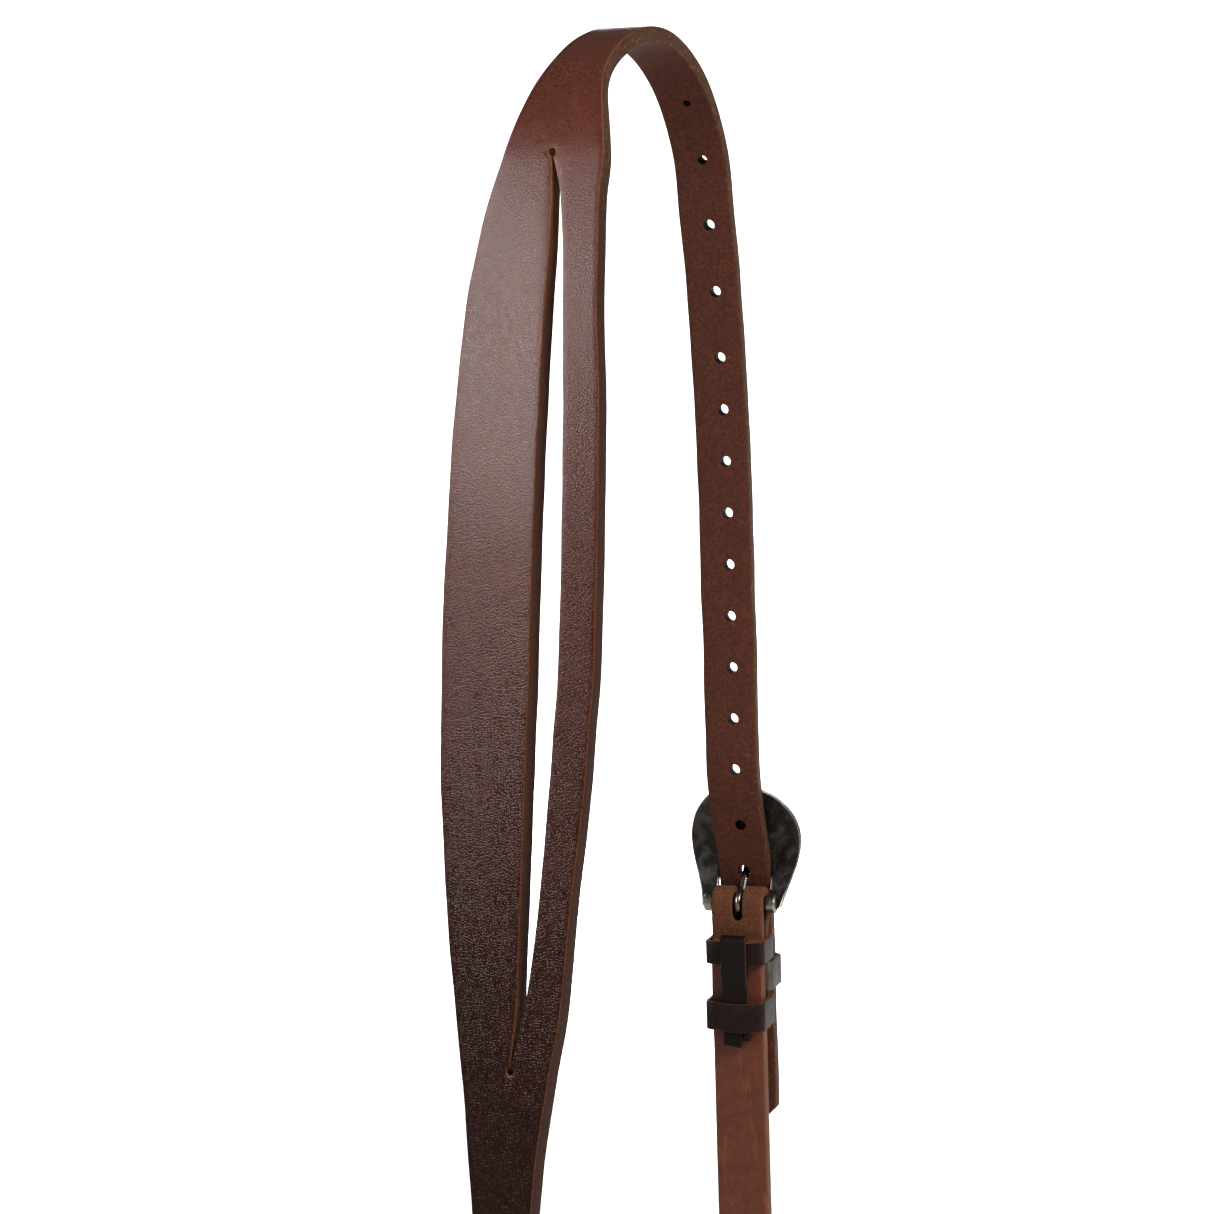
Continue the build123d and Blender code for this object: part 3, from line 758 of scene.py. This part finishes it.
def suede_leather(name, base, smooth, cut, grain, edge):
    """The near cheek: ragged suede where it is skived for the fold, smooth reddish flesh below."""
    n = Nodes(name)
    spot = n.position()
    lay = n.layer("leather", "Vector")
    side = n.layer("side")
    run, across, _ = n.add("SeparateXYZ", {0: lay}).outputs
    is_grain = n.ramp(side, 0.7, 0.3)
    is_edge = n.cut_edge(side)
    middle = n.noise(spot, 0.3, 5.0, 0.62, 0.5)
    nap = n.noise(spot, 1.5, 6.0, 0.8, 1.2)
    streak = n.noise(n.stretched(lay, (0.07, 0.6, 0.5)), 1.0, 4.0, 0.6, 0.6)
    layers = n.noise(n.stretched(lay, (0.16, 0.3, 2.6)), 1.0, 5.0, 0.7, 0.8)
    ragged = n.maths("ADD", run, n.times(n.maths("SUBTRACT", middle, 0.5), 5.0))
    is_suede = n.ramp(ragged, cut + 0.5, cut - 0.5)

    # thin pale scratches run down the smooth face, leaning and wandering
    wander = n.maths("ADD", across, n.times(n.maths("SUBTRACT", streak, 0.5), 9.0))
    ruled = n.maths("PINGPONG", n.maths("ADD", wander, n.times(run, -0.13)), 5.5)
    scratch = n.times(n.ramp(ruled, 0.45, 0.15), n.ramp(nap, 0.4, 0.58))
    flat_face = n.coats(n.shade(middle, 0.3, 0.72, smooth, 0.8, 1.15),
                        (n.ramp(streak, 0.35, 0.75, 0.0, 0.3), tint(smooth, 0.72)),
                        (n.times(scratch, 0.5), tint(smooth, 2.3)))
    rough_face = n.coats(n.shade(nap, 0.36, 0.64, base, 0.42, 1.65),
                         (n.ramp(middle, 0.35, 0.7, 0.0, 0.6), tint(base, 0.7)))
    colour = n.coats(flat_face, (is_suede, rough_face),
                     (is_grain, n.shade(middle, 0.35, 0.7, grain, 0.75, 1.3)),
                     (is_edge, n.shade(layers, 0.32, 0.7, edge, 0.65, 1.35)))
    rough = n.blend(is_grain, n.blend(is_suede, 0.66, 0.95), 0.5)
    normal = n.bumps((nap, n.blend(is_suede, 0.22, 0.95), 0.0004),
                     (middle, n.blend(is_suede, 0.2, 0.5), 0.0008),
                     (layers, n.blend(is_edge, 0.0, 0.5), 0.0003))
    return n.finish(Base_Color=colour, Roughness=rough, Normal=normal, Specular_IOR_Level=0.2)


def tie_leather(name, face, edge, highlight):
    """Near-black latigo: satin face, thin pale orange line where its cut edge is raw."""
    n = Nodes(name)
    spot = n.position()
    side = n.layer("side")
    is_edge = n.ramp(side, 0.55, 0.9)
    middle = n.noise(spot, 0.35, 4.0, 0.6, 0.4)
    fine = n.noise(spot, 2.2, 4.0, 0.7, 0.8)
    pores = n.ramp(n.cells(spot, 2.1), 0.0, 0.3)
    colour = n.coats(n.shade(middle, 0.3, 0.7, face, 0.75, 1.35),
                     (n.times(n.ramp(fine, 0.6, 0.75), 0.25), highlight),
                     (is_edge, n.shade(fine, 0.35, 0.62, edge, 0.55, 1.0)))
    rough = n.ramp(fine, 0.3, 0.7, 0.36, 0.52)
    normal = n.bumps((pores, 0.2, 0.0002), (fine, 0.3, 0.0002), (middle, 0.35, 0.0005))
    return n.finish(Base_Color=colour, Roughness=rough, Normal=normal, Specular_IOR_Level=0.1)


def metal(name, base, worn, rough, blotch, pitting, brush, edge_reach, bare=1.0):
    """Worn metal: cloudy base, brighter rubbed edges, pits and fine scratches. A metallic value below 1
    in bare stands for the dull coat that is left on it."""
    n = Nodes(name)
    spot = n.position()
    broad = n.noise(spot, 0.16, 4.0, 0.62, 0.6)
    fine = n.noise(spot, 1.3, 6.0, 0.7, 0.5)
    scratch = n.noise(n.stretched(spot, brush), 2.2, 5.0, 0.7, 0.3)
    pits = n.cells(spot, 1.1, "F1")
    point = n.add("NewGeometry").outputs["Pointiness"]
    corners = n.times(n.ramp(point, 0.53, 0.6), n.ramp(fine, 0.3, 0.55, 0.4, edge_reach))
    colour = n.coats(n.shade(broad, 0.36, 0.66, base, 1 - blotch, 1 + blotch),
                     (n.ramp(fine, 0.45, 0.7, 0.0, 0.45), tint(base, 0.6)),
                     (n.maths("MAXIMUM", n.ramp(scratch, 0.56, 0.74, 0.0, 0.3), corners), worn))
    scuffs = n.maths("ADD", fine, n.times(scratch, 0.5))
    roughness = n.ramp(scuffs, 0.45, 1.1, rough - 0.1, rough + 0.14)
    normal = n.bumps((n.ramp(pits, 0.0, 0.3), pitting, 0.0002), (scratch, 0.1, 0.0001), (broad, 0.2, 0.0006))
    return n.finish(Base_Color=colour, Roughness=roughness, Normal=normal, Metallic=bare,
                    Specular_IOR_Level=0.2)


RUST = srgb(88, 62, 44)


def rimmed_iron(name, plate, rim, rough):
    """The buckle plate: black iron face and a rim, marked by the side layer, which is painted lighter as a
    highlight.
    """
    n = Nodes(name)
    spot = n.position()
    side = n.layer("side")
    broad = n.noise(spot, 0.17, 5.0, 0.66, 0.8)
    fine = n.noise(spot, 1.2, 6.0, 0.72, 0.5)
    speck = n.noise(spot, 0.62, 3.0, 0.6, 0.2)
    # painted highlight: the rim, broken up by noise, is painted in the lighter rim colour
    painted_rim_highlight = n.times(n.ramp(side, 0.35, 0.75), n.ramp(fine, 0.28, 0.52, 0.45, 1.0))
    colour = n.coats(n.shade(broad, 0.4, 0.62, plate, 0.45, 1.9),
                     (n.ramp(fine, 0.52, 0.74, 0.0, 0.5), tint(plate, 2.3)),
                     (n.ramp(speck, 0.63, 0.7, 0.0, 0.35), RUST),
                     (painted_rim_highlight, n.shade(broad, 0.35, 0.65, rim, 0.75, 1.15)))
    roughness = n.blend(painted_rim_highlight, n.ramp(fine, 0.3, 0.7, rough - 0.06, rough + 0.12), 0.3)
    normal = n.bumps((fine, 0.35, 0.0002), (broad, 0.35, 0.0008))
    return n.finish(Base_Color=colour, Roughness=roughness, Normal=normal, Metallic=0.85)


def paper_floor():
    """Plain pale ground."""
    n = Nodes("studio_floor")
    grainy = n.noise(n.position(), 0.02, 2.0)
    colour = n.mix(n.ramp(grainy, 0.3, 0.7), srgb(250, 250, 250), srgb(255, 255, 255))
    return n.finish(Base_Color=colour, Roughness=0.9, Specular_IOR_Level=0.1)


LEATHER_LOOK = harness_leather("harness_leather", srgb(52, 26, 19), srgb(78, 37, 23), srgb(60, 38, 25),
                               srgb(170, 108, 62), 0.19, 0.15)
CHEEK_LOOK = suede_leather("cheek_leather", srgb(95, 56, 34), srgb(100, 51, 34), FOLD_FOOT + 10.8,
                           srgb(58, 33, 26), srgb(88, 56, 36))
TIE_LOOK = tie_leather("latigo_leather", srgb(28, 18, 13), srgb(104, 62, 42), srgb(70, 60, 55))
LACE_LOOK = tie_leather("lace_leather", srgb(18, 12, 10), srgb(70, 42, 30), srgb(52, 45, 42))
# the plate's second colour is the rim's painted highlight
PLATE_LOOK = rimmed_iron("blackened_iron", srgb(46, 43, 40), srgb(122, 117, 110), 0.42)
BRIGHT_LOOK = metal("worn_steel", srgb(112, 106, 98), srgb(170, 165, 156), 0.3, 0.22, 0.25,
                    (1, 1, 0.25), 0.7)
KEEPER_LOOK = metal("gunmetal", srgb(64, 60, 54), srgb(110, 104, 95), 0.5, 0.3, 0.25, (0.2, 1, 1), 0.7, 0.4)
SCREW_LOOK = metal("antique_steel", srgb(112, 106, 97), srgb(170, 164, 152), 0.34, 0.3, 0.3,
                   (1, 1, 1), 0.8)


def dress(thing, look, body, slot, *nodes):
    """Gives a piece its look, hides any nodes it stands for and rides it on a body; its slot is not used."""
    thing.data.materials.append(look)
    if nodes:
        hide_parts(*nodes)
    if body:
        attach(thing, body)


# ---- straps

def band_left(run):
    return edge_at(LEFT_EDGE, -run) if run < 0 else -STRAP_WIDTH / 2


def band_right(run):
    return edge_at(RIGHT_EDGE, -run) if run < 0 else STRAP_WIDTH / 2


def crown_split(run):
    """Where the middle column of the crown strap's mesh runs, so that it meets its openings."""
    middle = (edge_at(WIDE_INNER, -run) + edge_at(NARROW_INNER, -run)) / 2
    return middle + (HOLE_OFFSET - middle) * eased((run + SLIT_TOP) / (SLIT_TOP + HOLES[0] - 4))


def make_crown_strap():
    """The whole crown strap from the off bit end, over the poll, to just above the buckle."""
    off_end = LOFT_END + OFF_LOOP.total
    runs = spaced(-off_end, -LOFT_END - 60, 1.6) + spaced(-LOFT_END - 60, -SLIT_END, 6)[1:]
    runs += spaced(-SLIT_TOP, 0, 2.5) + spaced(0, SEAM_RUN, 2.5)[1:]
    openings = [slit_contour()]
    openings += [hole_contour(run, HOLE_OFFSET, HOLE_RADIUS * min(1.0, CLOSED_HOLE + run / OPEN_HOLE_RUN))
                 for run in HOLES if run < SEAM_RUN]
    strap = strap_mesh("crown_strap", runs, band_left, band_right, crown_place, openings, crown_split,
                       columns=8, wobble=0.35)
    dress(strap, LEATHER_LOOK, None, "harness_leather", "crown_off_side", "crown_billet")
    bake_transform(strap)


def tail_half(run):
    """Half the billet's width, narrowing to its point."""
    below = run - BAR_RUN
    if below <= TAIL_EDGE:
        return STRAP_WIDTH / 2
    return STRAP_WIDTH / 2 + (2.0 - STRAP_WIDTH / 2) * (below - TAIL_EDGE) / (TAIL_POINT - TAIL_EDGE)


def make_billet():
    """The billet from the last plain holes, out over the heel bar, to its pointed tail."""
    runs = spaced(SEAM_RUN, BAR_RUN - 50, 2.5) + spaced(BAR_RUN - 50, BAR_RUN + 6, 1.4)[1:]
    runs += spaced(BAR_RUN + 6, BAR_RUN + TAIL_EDGE - 1, 2.5)[1:]
    runs += spaced(BAR_RUN + TAIL_EDGE - 0.5, BAR_RUN + TAIL_POINT, 0.7)
    openings = [hole_contour(run, HOLE_OFFSET, HOLE_RADIUS) for run in HOLES if run > SEAM_RUN]
    openings.append(hole_contour(TONGUE_HOLE, 0.0, TONGUE_HOLE_RADIUS, TONGUE_HOLE_STRETCH))

    def split(run):
        last = HOLES[-1] + HOLE_RADIUS
        return HOLE_OFFSET * (1 - eased((run - last - 2) / 8))

    billet = strap_mesh("billet", runs, lambda run: -tail_half(run), tail_half, crown_place, openings, split,
                        wobble=0.3)
    dress(billet, LEATHER_LOOK, None, "harness_leather", "billet_tip")
    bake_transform(billet)


def make_cheek():
    """The near cheek: flap, skived fold round the bar with a slot for the tongue, and bit end."""
    def faces_at(run):
        deep = SKIVED + (LEATHER - SKIVED) * eased((run - FOLD_FOOT - 10) / 2)
        rag = 0.25 * noise.noise(Vector((run * 0.9, 0.0, 5.0))) if run < FOLD_FOOT + 11 else 0.0
        return 0.0, -deep + rag

    runs = spaced(0, FLAP_END - FOLD_DOWN, 2.4) + spaced(FLAP_END - FOLD_DOWN, FOLD_TOP, 0.9)[1:]
    runs += spaced(FOLD_TOP, FOLD_FOOT, 0.35)[1:] + spaced(FOLD_FOOT, FOLD_FOOT + 15, 0.7)[1:]
    runs += spaced(FOLD_FOOT + 15, CHEEK_LINE.total - 110, 5)[1:]
    runs += spaced(CHEEK_LINE.total - 110, CHEEK_LINE.total, 1.6)[1:]
    slot = slot_contour(FOLD_TOP - 6.0, FOLD_FOOT + SLOT_DEPTH, SLOT_HALF)
    cheek = strap_mesh("near_cheek_strap", runs, lambda run: -STRAP_WIDTH / 2, lambda run: STRAP_WIDTH / 2,
                       cheek_place, [slot], faces_at=faces_at, wobble=0.2, rim=0.35)
    dress(cheek, CHEEK_LOOK, "cheek", "harness_leather", "near_cheek")


# ---- buckle

FRAME_FOOT = 1.2
FRAME_OUTLINE = [(0, -36), (5.2, -35.4), (9.5, -33.5), (13.0, -30.3), (15.6, -26.6), (17.1, -22.4),
                 (17.5, -18), (16.7, -12.5), (15.0, -7), (13.2, -1.2), (12.6, FRAME_FOOT)]
FRAME_CREST = 11.6
FRAME_TOP = -36.0
FRAME_CURVE = 28.7
FRAME_THICKNESS = 2.0
WINDOW_TOP = -14.0
WINDOW_HALF = 8.1
WINDOW_CORNER = 2.6
LUG_START = 8.25
LUG_WIDTH = 3.0
LUG_RADIUS = 2.9
LUG_BEVEL = 0.45


def plate_height(down):
    """Inner face of the curved buckle plate."""
    away = down - FRAME_TOP / 2
    return FRAME_CREST - FRAME_CURVE + math.sqrt(FRAME_CURVE**2 - away**2)


def bar_spot(along, radius, turn):
    """A point at a radius and a turn about the heel bar's axis."""
    return buckle_place(along, radius * math.sin(turn), BAR_OUT + radius * math.cos(turn))


def flipped(section):
    """The same points of a section on its other side."""
    return [(1 - share, rise, mark) for share, rise, mark in section]


def make_frame():
    """The buckle's plate: one closed band from arm to arm, with a bevelled rim, marked for its painted
    highlight, and a soft crown.
    """
    right = smooth_line(FRAME_OUTLINE, 7)
    outer = [(-x, y) for x, y in reversed(right[1:])] + right
    corner = [(WINDOW_HALF - WINDOW_CORNER + WINDOW_CORNER * math.sin(a),
               WINDOW_TOP + WINDOW_CORNER - WINDOW_CORNER * math.cos(a))
              for a in fan(math.pi / 2, 8)]
    half = [(x, WINDOW_TOP) for x in spaced(0, corner[0][0], 0.8)[:-1]] + corner
    half += [(WINDOW_HALF, y) for y in spaced(corner[-1][1], FRAME_FOOT, 0.9)[1:]]
    inner = even_points([(-x, y) for x, y in reversed(half[1:])] + half, len(outer))
    rings, marks = [], []
    for a, b in zip(outer, inner):
        wide = math.dist(a, b)
        cut = min(0.55, wide * 0.2) / wide
        face = [(0.0, 0.5, 1.0), (cut * 0.4, 0.85, 1.0), (cut, 1.0, 0.6), (cut * 2.2, 1.02, 0.0),
                (0.35, 1.12, 0.0)]
        back = [(cut * 0.4, 0.15, 1.0), (cut, 0.0, 0.6), (cut * 2.2, 0.0, 0.0)]
        section = face + [(0.5, 1.15, 0.0)] + flipped(reversed(face))
        section += flipped(back) + [(0.5, 0.0, 0.0)] + back[::-1]
        ring = []
        for share, rise, mark in section:
            x, y = between(a, b, share)
            ring.append(buckle_place(x, y, plate_height(y) + rise * FRAME_THICKNESS * 0.97))
            marks.append(mark)
        rings.append(ring)
    frame_plate = loft_rings("buckle_plate", rings, sharp=60, side=marks)
    dress(frame_plate, PLATE_LOOK, "near_billet", "blackened_iron", "buckle_frame")


def make_lugs():
    """Round lugs that hold the bar's ends, part of the plate."""
    half = [(0.0, BAR_RADIUS), (0.0, LUG_RADIUS - LUG_BEVEL), (LUG_BEVEL, LUG_RADIUS)]
    rim = half + [(LUG_WIDTH - along, radius) for along, radius in reversed(half)]
    for side, start in (("left", -LUG_START - LUG_WIDTH), ("right", LUG_START)):
        rings = [[bar_spot(start + along, radius, a) for along, radius in rim] for a in circle(40)]
        lug = loft_rings("buckle_lug_" + side, rings, closed=True, sharp=40)
        dress(lug, BRIGHT_LOOK, "near_billet", "blackened_iron")


def make_bar():
    """Heel bar with riveted, domed ends proud of the lugs."""
    end = LUG_START + LUG_WIDTH
    profile = [(-end, 0.05), (-end + 0.05, 0.9), (-end + 0.3, 1.5), (-end + 0.7, BAR_RADIUS)]
    line = profile + [(x, BAR_RADIUS) for x in spaced(-end + 1.4, end - 1.4, 1.2)]
    line += [(-along, radius) for along, radius in reversed(profile)]
    rings = [[bar_spot(along, radius, a) for a in circle(32)] for along, radius in line]
    bar = loft_rings("heel_bar", rings, sharp=50)
    dress(bar, BRIGHT_LOOK, "near_billet", "bright_steel", "buckle_bar")


TONGUE_RADIUS = 1.15
TONGUE_LINE = [(-2.6, 6.2), (-7.3, 10.7), (-11.4, 14.2), (-15.0, 15.0), (-20.0, 14.7), (-25.5, 14.35)]


def make_tongue():
    """One wire: an eye wrapped round the bar, then a shaft that lies on the plate."""
    reach = BAR_RADIUS + 0.1 + TONGUE_RADIUS
    turns = [math.radians(a) for a in range(-96, 225, 8)]
    eye = [(0.0, -reach * math.sin(a), BAR_OUT + reach * math.cos(a)) for a in reversed(turns)]
    shaft = [(0.0, y, z) for y, z in smooth_line(TONGUE_LINE, 6)]
    joined = [p for p in eye if not (p[1] < -1.2 and p[2] > BAR_OUT + 0.6)]
    for name, points, nodes in (("tongue_eye", joined[::-1], ["buckle_tongue"]), ("tongue_pin", shaft, [])):
        dress(tube(name, *domed(points, TONGUE_RADIUS)), BRIGHT_LOOK, "tongue", "bright_steel", *nodes)


# ---- ties, lace and metal keeper

UPPER_TIE = (10.1, 17.3)
METAL_KEEPER = (17.9, 26.9)
LOWER_TIE = (28.6, 37.4)
TIE = 1.2
TIE_CORNER = 2.0
LACE = 1.3
LACE_WIDTH = 8.0
LACE_END = 42.2
METAL_WALL = 1.2
METAL_HALF = 8.4
METAL_CORNER = 1.7
TIE_HALF = STRAP_WIDTH / 2 + 0.15
TIE_GAP = 0.1
TIE_TOP = FLAP_IN + SKIVED + TIE_GAP
LACE_BACK = -LEATHER / 2 - TIE_GAP - LACE


def make_keepers():
    """Two leather ties round the cheek's layers and the metal keeper that holds the tail."""
    upper = keeper("upper_tie", TIE_HALF, LACE_BACK - TIE_GAP, TIE_TOP, TIE, UPPER_TIE, TIE_CORNER, sag=0.5)
    dress(upper, TIE_LOOK, "cheek", "tie_leather", "upper_keeper")
    lower = keeper("lower_tie", TIE_HALF, LACE_BACK - LACE - 2 * TIE_GAP, TIE_TOP, TIE, LOWER_TIE,
                   TIE_CORNER, sag=0.8)
    dress(lower, TIE_LOOK, "cheek", "tie_leather", "lower_keeper")
    metal_ring = keeper("metal_loop", METAL_HALF, LEATHER / 2 + STRAP_GAP + METAL_WALL,
                        BILLET_OUT + LEATHER / 2 + STRAP_GAP, METAL_WALL, METAL_KEEPER, METAL_CORNER)
    dress(metal_ring, KEEPER_LOOK, "keeper", "gunmetal_steel", "metal_keeper")


def lace_strip(name, line, left, right, end_slope=0.0):
    """A flat lace along (down, depth) points, with softened edges and a slanted end."""
    rings, marks, at = [], [], []
    thick = LACE * 0.48
    for i, (y, z) in enumerate(line):
        a, b = line[max(i - 1, 0)], line[min(i + 1, len(line) - 1)]
        size = math.dist(a, b)
        ny, nz = -(b[1] - a[1]) / size, (b[0] - a[0]) / size
        ring = []
        for x, level in rounded_section(left, right, thick):
            slant = end_slope * (x - left) if i == len(line) - 1 else 0.0
            ring.append(buckle_place(x, y + ny * level + slant, z + nz * level))
            marks.append(1.0 if min(x - left, right - x) < 0.05 else 0.0)
            at.append((y, x, level))
        rings.append(ring)
    return loft_rings(name, rings, side=marks, leather=at)


def rounded_section(left, right, half):
    """Section of a flat lace as (across, level) points."""
    xs = [left + 0.3 + (right - left - 0.6) * k / 5 for k in range(6)]
    top = [(x, half) for x in xs]
    ends = [(right, half * 0.55), (right, -half * 0.55)]
    low = [(x, -half) for x in reversed(xs)]
    return top + ends + low + [(left, -half * 0.55), (left, half * 0.55)]


def make_lace():
    """The lace: hooked over the upper tie, lying on the cheek, tucked under the lower tie."""
    back = LACE_BACK + LACE / 2
    front = LACE_BACK - 2 * TIE_GAP - TIE - LACE / 2
    under = LACE_BACK - TIE_GAP - LACE / 2
    bend = (back - front) / 2
    hook = UPPER_TIE[0] + TIE_GAP
    half_turn = [(hook - bend * math.sin(a), (back + front) / 2 + bend * math.cos(a))
                 for a in fan(math.pi, 14)]
    over = [(y, front) for y in spaced(hook + 0.8, UPPER_TIE[1] + 2, 1.0)]
    low_y = LOWER_TIE[0] - 2
    slope = [(UPPER_TIE[1] + 2 + (low_y - UPPER_TIE[1] - 2) * t, front + (under - front) * eased(t))
             for t in fan(1, 10)[1:]]
    tucked = [(y, under) for y in spaced(low_y + 0.8, LOWER_TIE[1] - 3, 1.0)]
    tail = [(y, under) for y in spaced(LOWER_TIE[1] - 4, LACE_END, 0.9)]
    behind = [(y, back) for y in spaced(LACE_END - 1, hook + 0.8, 1.2)]
    lace = lace_strip("lace", half_turn + over + slope + tucked, -LACE_WIDTH / 2, LACE_WIDTH / 2)
    dress(lace, LACE_LOOK, "cheek", "tie_leather", "keeper_lace")
    for extra in (lace_strip("lace_tail_wide", tail, -LACE_WIDTH / 2, 1.9, 0.16),
                  lace_strip("lace_tail_thin", tail[:-2], 2.4, LACE_WIDTH / 2, -0.25),
                  lace_strip("lace_back", behind, -LACE_WIDTH / 2, LACE_WIDTH / 2)):
        dress(extra, LACE_LOOK, "cheek", "tie_leather")


# ---- Chicago screws

POST_RADIUS = 2.5
POST_BORE = 1.6
SCREW_RADIUS = 1.5
HEAD_RADIUS = 5.0
HEAD_HEIGHT = 1.2
POST_FACE = LEATHER / 2 + 0.05
POST_LENGTH = 2 * LEATHER - 0.5
SCREW_FACE = LEATHER * 1.5 + TAB_GAP + 0.05
HEAD_DOME = [(0.0, 0.1), (0.02, 2.0), (0.12, 3.4), (0.35, 4.3), (0.7, HEAD_RADIUS - 0.1),
             (0.95, HEAD_RADIUS)]
DRIVER_HALF = 0.5
DRIVER_DEPTH = 0.6
SCREW_RUNS = {"upper": 44.0, "lower": 28.0}
SPIN_PER_MM = 0.11


def turned(name, side, run, profile, slotted):
    """A turned piece square to a strap, from (out, radius) pairs, with a driver slot across its first face
    if it is slotted."""
    origin, along, wide, outward = strap_frame(side, run)
    spin = run * SPIN_PER_MM + side

    def spot(u, v, out):
        x, y = u * math.cos(spin) - v * math.sin(spin), u * math.sin(spin) + v * math.cos(spin)
        return (origin + wide * x + along * y + outward * out) * MM

    piece = loft_rings(name, [[spot(radius * math.cos(a), radius * math.sin(a), out) for a in circle(48)]
                              for out, radius in profile], sharp=38)
    if slotted:
        cut_slot(piece, spot, profile[0][0])
    return piece


def cut_slot(piece, spot, face):
    """Cuts a straight driver slot across a head, whose face is at this level."""
    reach = HEAD_RADIUS * 1.2
    corners = ((-reach, -DRIVER_HALF), (reach, -DRIVER_HALF), (reach, DRIVER_HALF), (-reach, DRIVER_HALF))
    cutter = loft_rings("cutter", [[spot(u, v, level) for u, v in corners]
                                   for level in (face - 1.0, face + DRIVER_DEPTH)])
    cut = piece.modifiers.new("slot", "BOOLEAN")
    cut.operation = "DIFFERENCE"
    cut.solver = "EXACT"
    cut.object = cutter
    bpy.context.view_layer.update()
    evaluated = piece.evaluated_get(bpy.context.evaluated_depsgraph_get())
    mesh = bpy.data.meshes.new_from_object(evaluated)
    piece.modifiers.clear()
    piece.data = mesh
    mesh.set_sharp_from_angle(angle=math.radians(38))
    bpy.data.objects.remove(cutter)


def make_screws():
    """A domed post and a slotted screw through each doubled bit end."""
    top = POST_FACE + HEAD_HEIGHT
    end = POST_FACE - POST_LENGTH
    post_line = [(top - drop, radius) for drop, radius in HEAD_DOME]
    post_line += [(POST_FACE, HEAD_RADIUS - 0.05), (POST_FACE, POST_RADIUS), (end, POST_RADIUS),
                  (end, POST_BORE), (POST_FACE - 1.0, POST_BORE), (POST_FACE - 1.0, 0.1)]
    low = -SCREW_FACE - HEAD_HEIGHT
    tip = -SCREW_FACE + POST_LENGTH - 2.5
    screw_line = [(low + drop, radius) for drop, radius in HEAD_DOME]
    screw_line += [(-SCREW_FACE, HEAD_RADIUS - 0.05), (-SCREW_FACE, SCREW_RADIUS), (tip, SCREW_RADIUS),
                   (tip + 0.1, 0.1)]
    for side, name, body in ((-1, "off", "off_side"), (1, "near", "cheek")):
        for level, back in SCREW_RUNS.items():
            run = LOOP_RUN - back
            post = turned(f"{name}_post_head_{level}", side, run, post_line, False)
            dress(post, SCREW_LOOK, body, "antique_steel", f"{name}_post_{level}")
            screw = turned(f"{name}_slotted_screw_{level}", side, run, screw_line, True)
            dress(screw, SCREW_LOOK, body, "antique_steel", f"{name}_screw_{level}")


# ---- studio

def area_light(name, place, aim, size, power, colour=(1, 1, 1), spread=180, diffuse=True, glossy=True):
    """A soft light facing a point. It can be seen in diffuse light only, in reflections only, or in both."""
    light = bpy.data.lights.new(name, "AREA")
    light.shape = "RECTANGLE"
    light.size, light.size_y = size
    light.energy = power
    light.color = colour
    light.spread = math.radians(spread)
    lamp = add_object(name, light)
    lamp.location = place
    lamp.rotation_euler = (Vector(aim) - Vector(place)).to_track_quat("-Z", "Y").to_euler()
    lamp.visible_diffuse = diffuse
    lamp.visible_glossy = glossy


VIEW_TURN = math.radians(25)
SWEEP_RADIUS = 1.2
FLOOR_FRONT = -2.6
FLOOR_BACK = 2.2


def make_studio():
    """Pale floor that sweeps up behind, soft lights and the camera."""
    low = cad_box[0][2]
    floor = bpy.data.meshes.new("studio_floor")
    sweep = [(FLOOR_BACK + math.sin(a) * SWEEP_RADIUS, low + SWEEP_RADIUS * (1 - math.cos(a)))
             for a in fan(math.pi / 2, 12)]
    profile = [(FLOOR_FRONT, low)] + sweep + [(FLOOR_BACK + SWEEP_RADIUS, low + SWEEP_RADIUS + 0.2)]
    cos, sin = math.cos(VIEW_TURN), math.sin(VIEW_TURN)
    verts = [(x * cos - y * sin, x * sin + y * cos, z) for x in (-6.0, 6.0) for y, z in profile]
    count = len(profile)
    floor.from_pydata(verts, [], [(i, i + 1, count + i + 1, count + i) for i in range(count - 1)])
    floor.shade_smooth()
    ground = add_object("studio_floor", floor)
    ground.data.materials.append(paper_floor())

    world = bpy.data.worlds.new("studio")
    world.use_nodes = True
    sky = world.node_tree.nodes["Background"]
    sky.inputs[0].default_value = (1, 1, 1, 1)
    sky.inputs[1].default_value = 0.08
    bpy.context.scene.world = world
    bpy.context.scene.view_settings.view_transform = "Standard"

    area_light("sheen", (-1.25, -1.05, 0.36), (0, -0.06, -0.07), (0.9, 0.66), 31, diffuse=False)
    area_light("glow", (-0.37, -0.27, 0.13), (0, -0.072, -0.065), (0.06, 0.24), 0.55,
               (1.0, 0.97, 0.95), 26, glossy=False)
    area_light("key", (1.8, -0.55, 1.15), (0, 0, -0.25), (1.1, 0.8), 78, (1.0, 0.96, 0.91))
    area_light("backdrop_left", (-2.2, 1.2, 0.9), (-1.0, 3.4, 0.6), (1.4, 1.0), 34, spread=130)
    area_light("backdrop_right", (0.8, 1.6, 0.9), (-1.4, 3.2, 0.4), (1.4, 1.0), 34, spread=130)
    area_light("backdrop_floor", (-0.7, 1.7, 1.6), (-0.7, 1.75, -0.5), (1.2, 1.0), 26, spread=75)

    lens = bpy.data.cameras.new("camera")
    lens.lens = 102.87
    lens.sensor_width = 36.0
    view = add_object("camera", lens)
    view.location = (0.4072, -0.8914, -0.0938)
    view.rotation_euler = (math.radians(86.256), 0, VIEW_TURN)
    bpy.context.scene.camera = view


make_crown_strap()
make_billet()
make_cheek()
make_frame()
make_lugs()
make_bar()
make_tongue()
make_keepers()
make_lace()
make_screws()
make_studio()
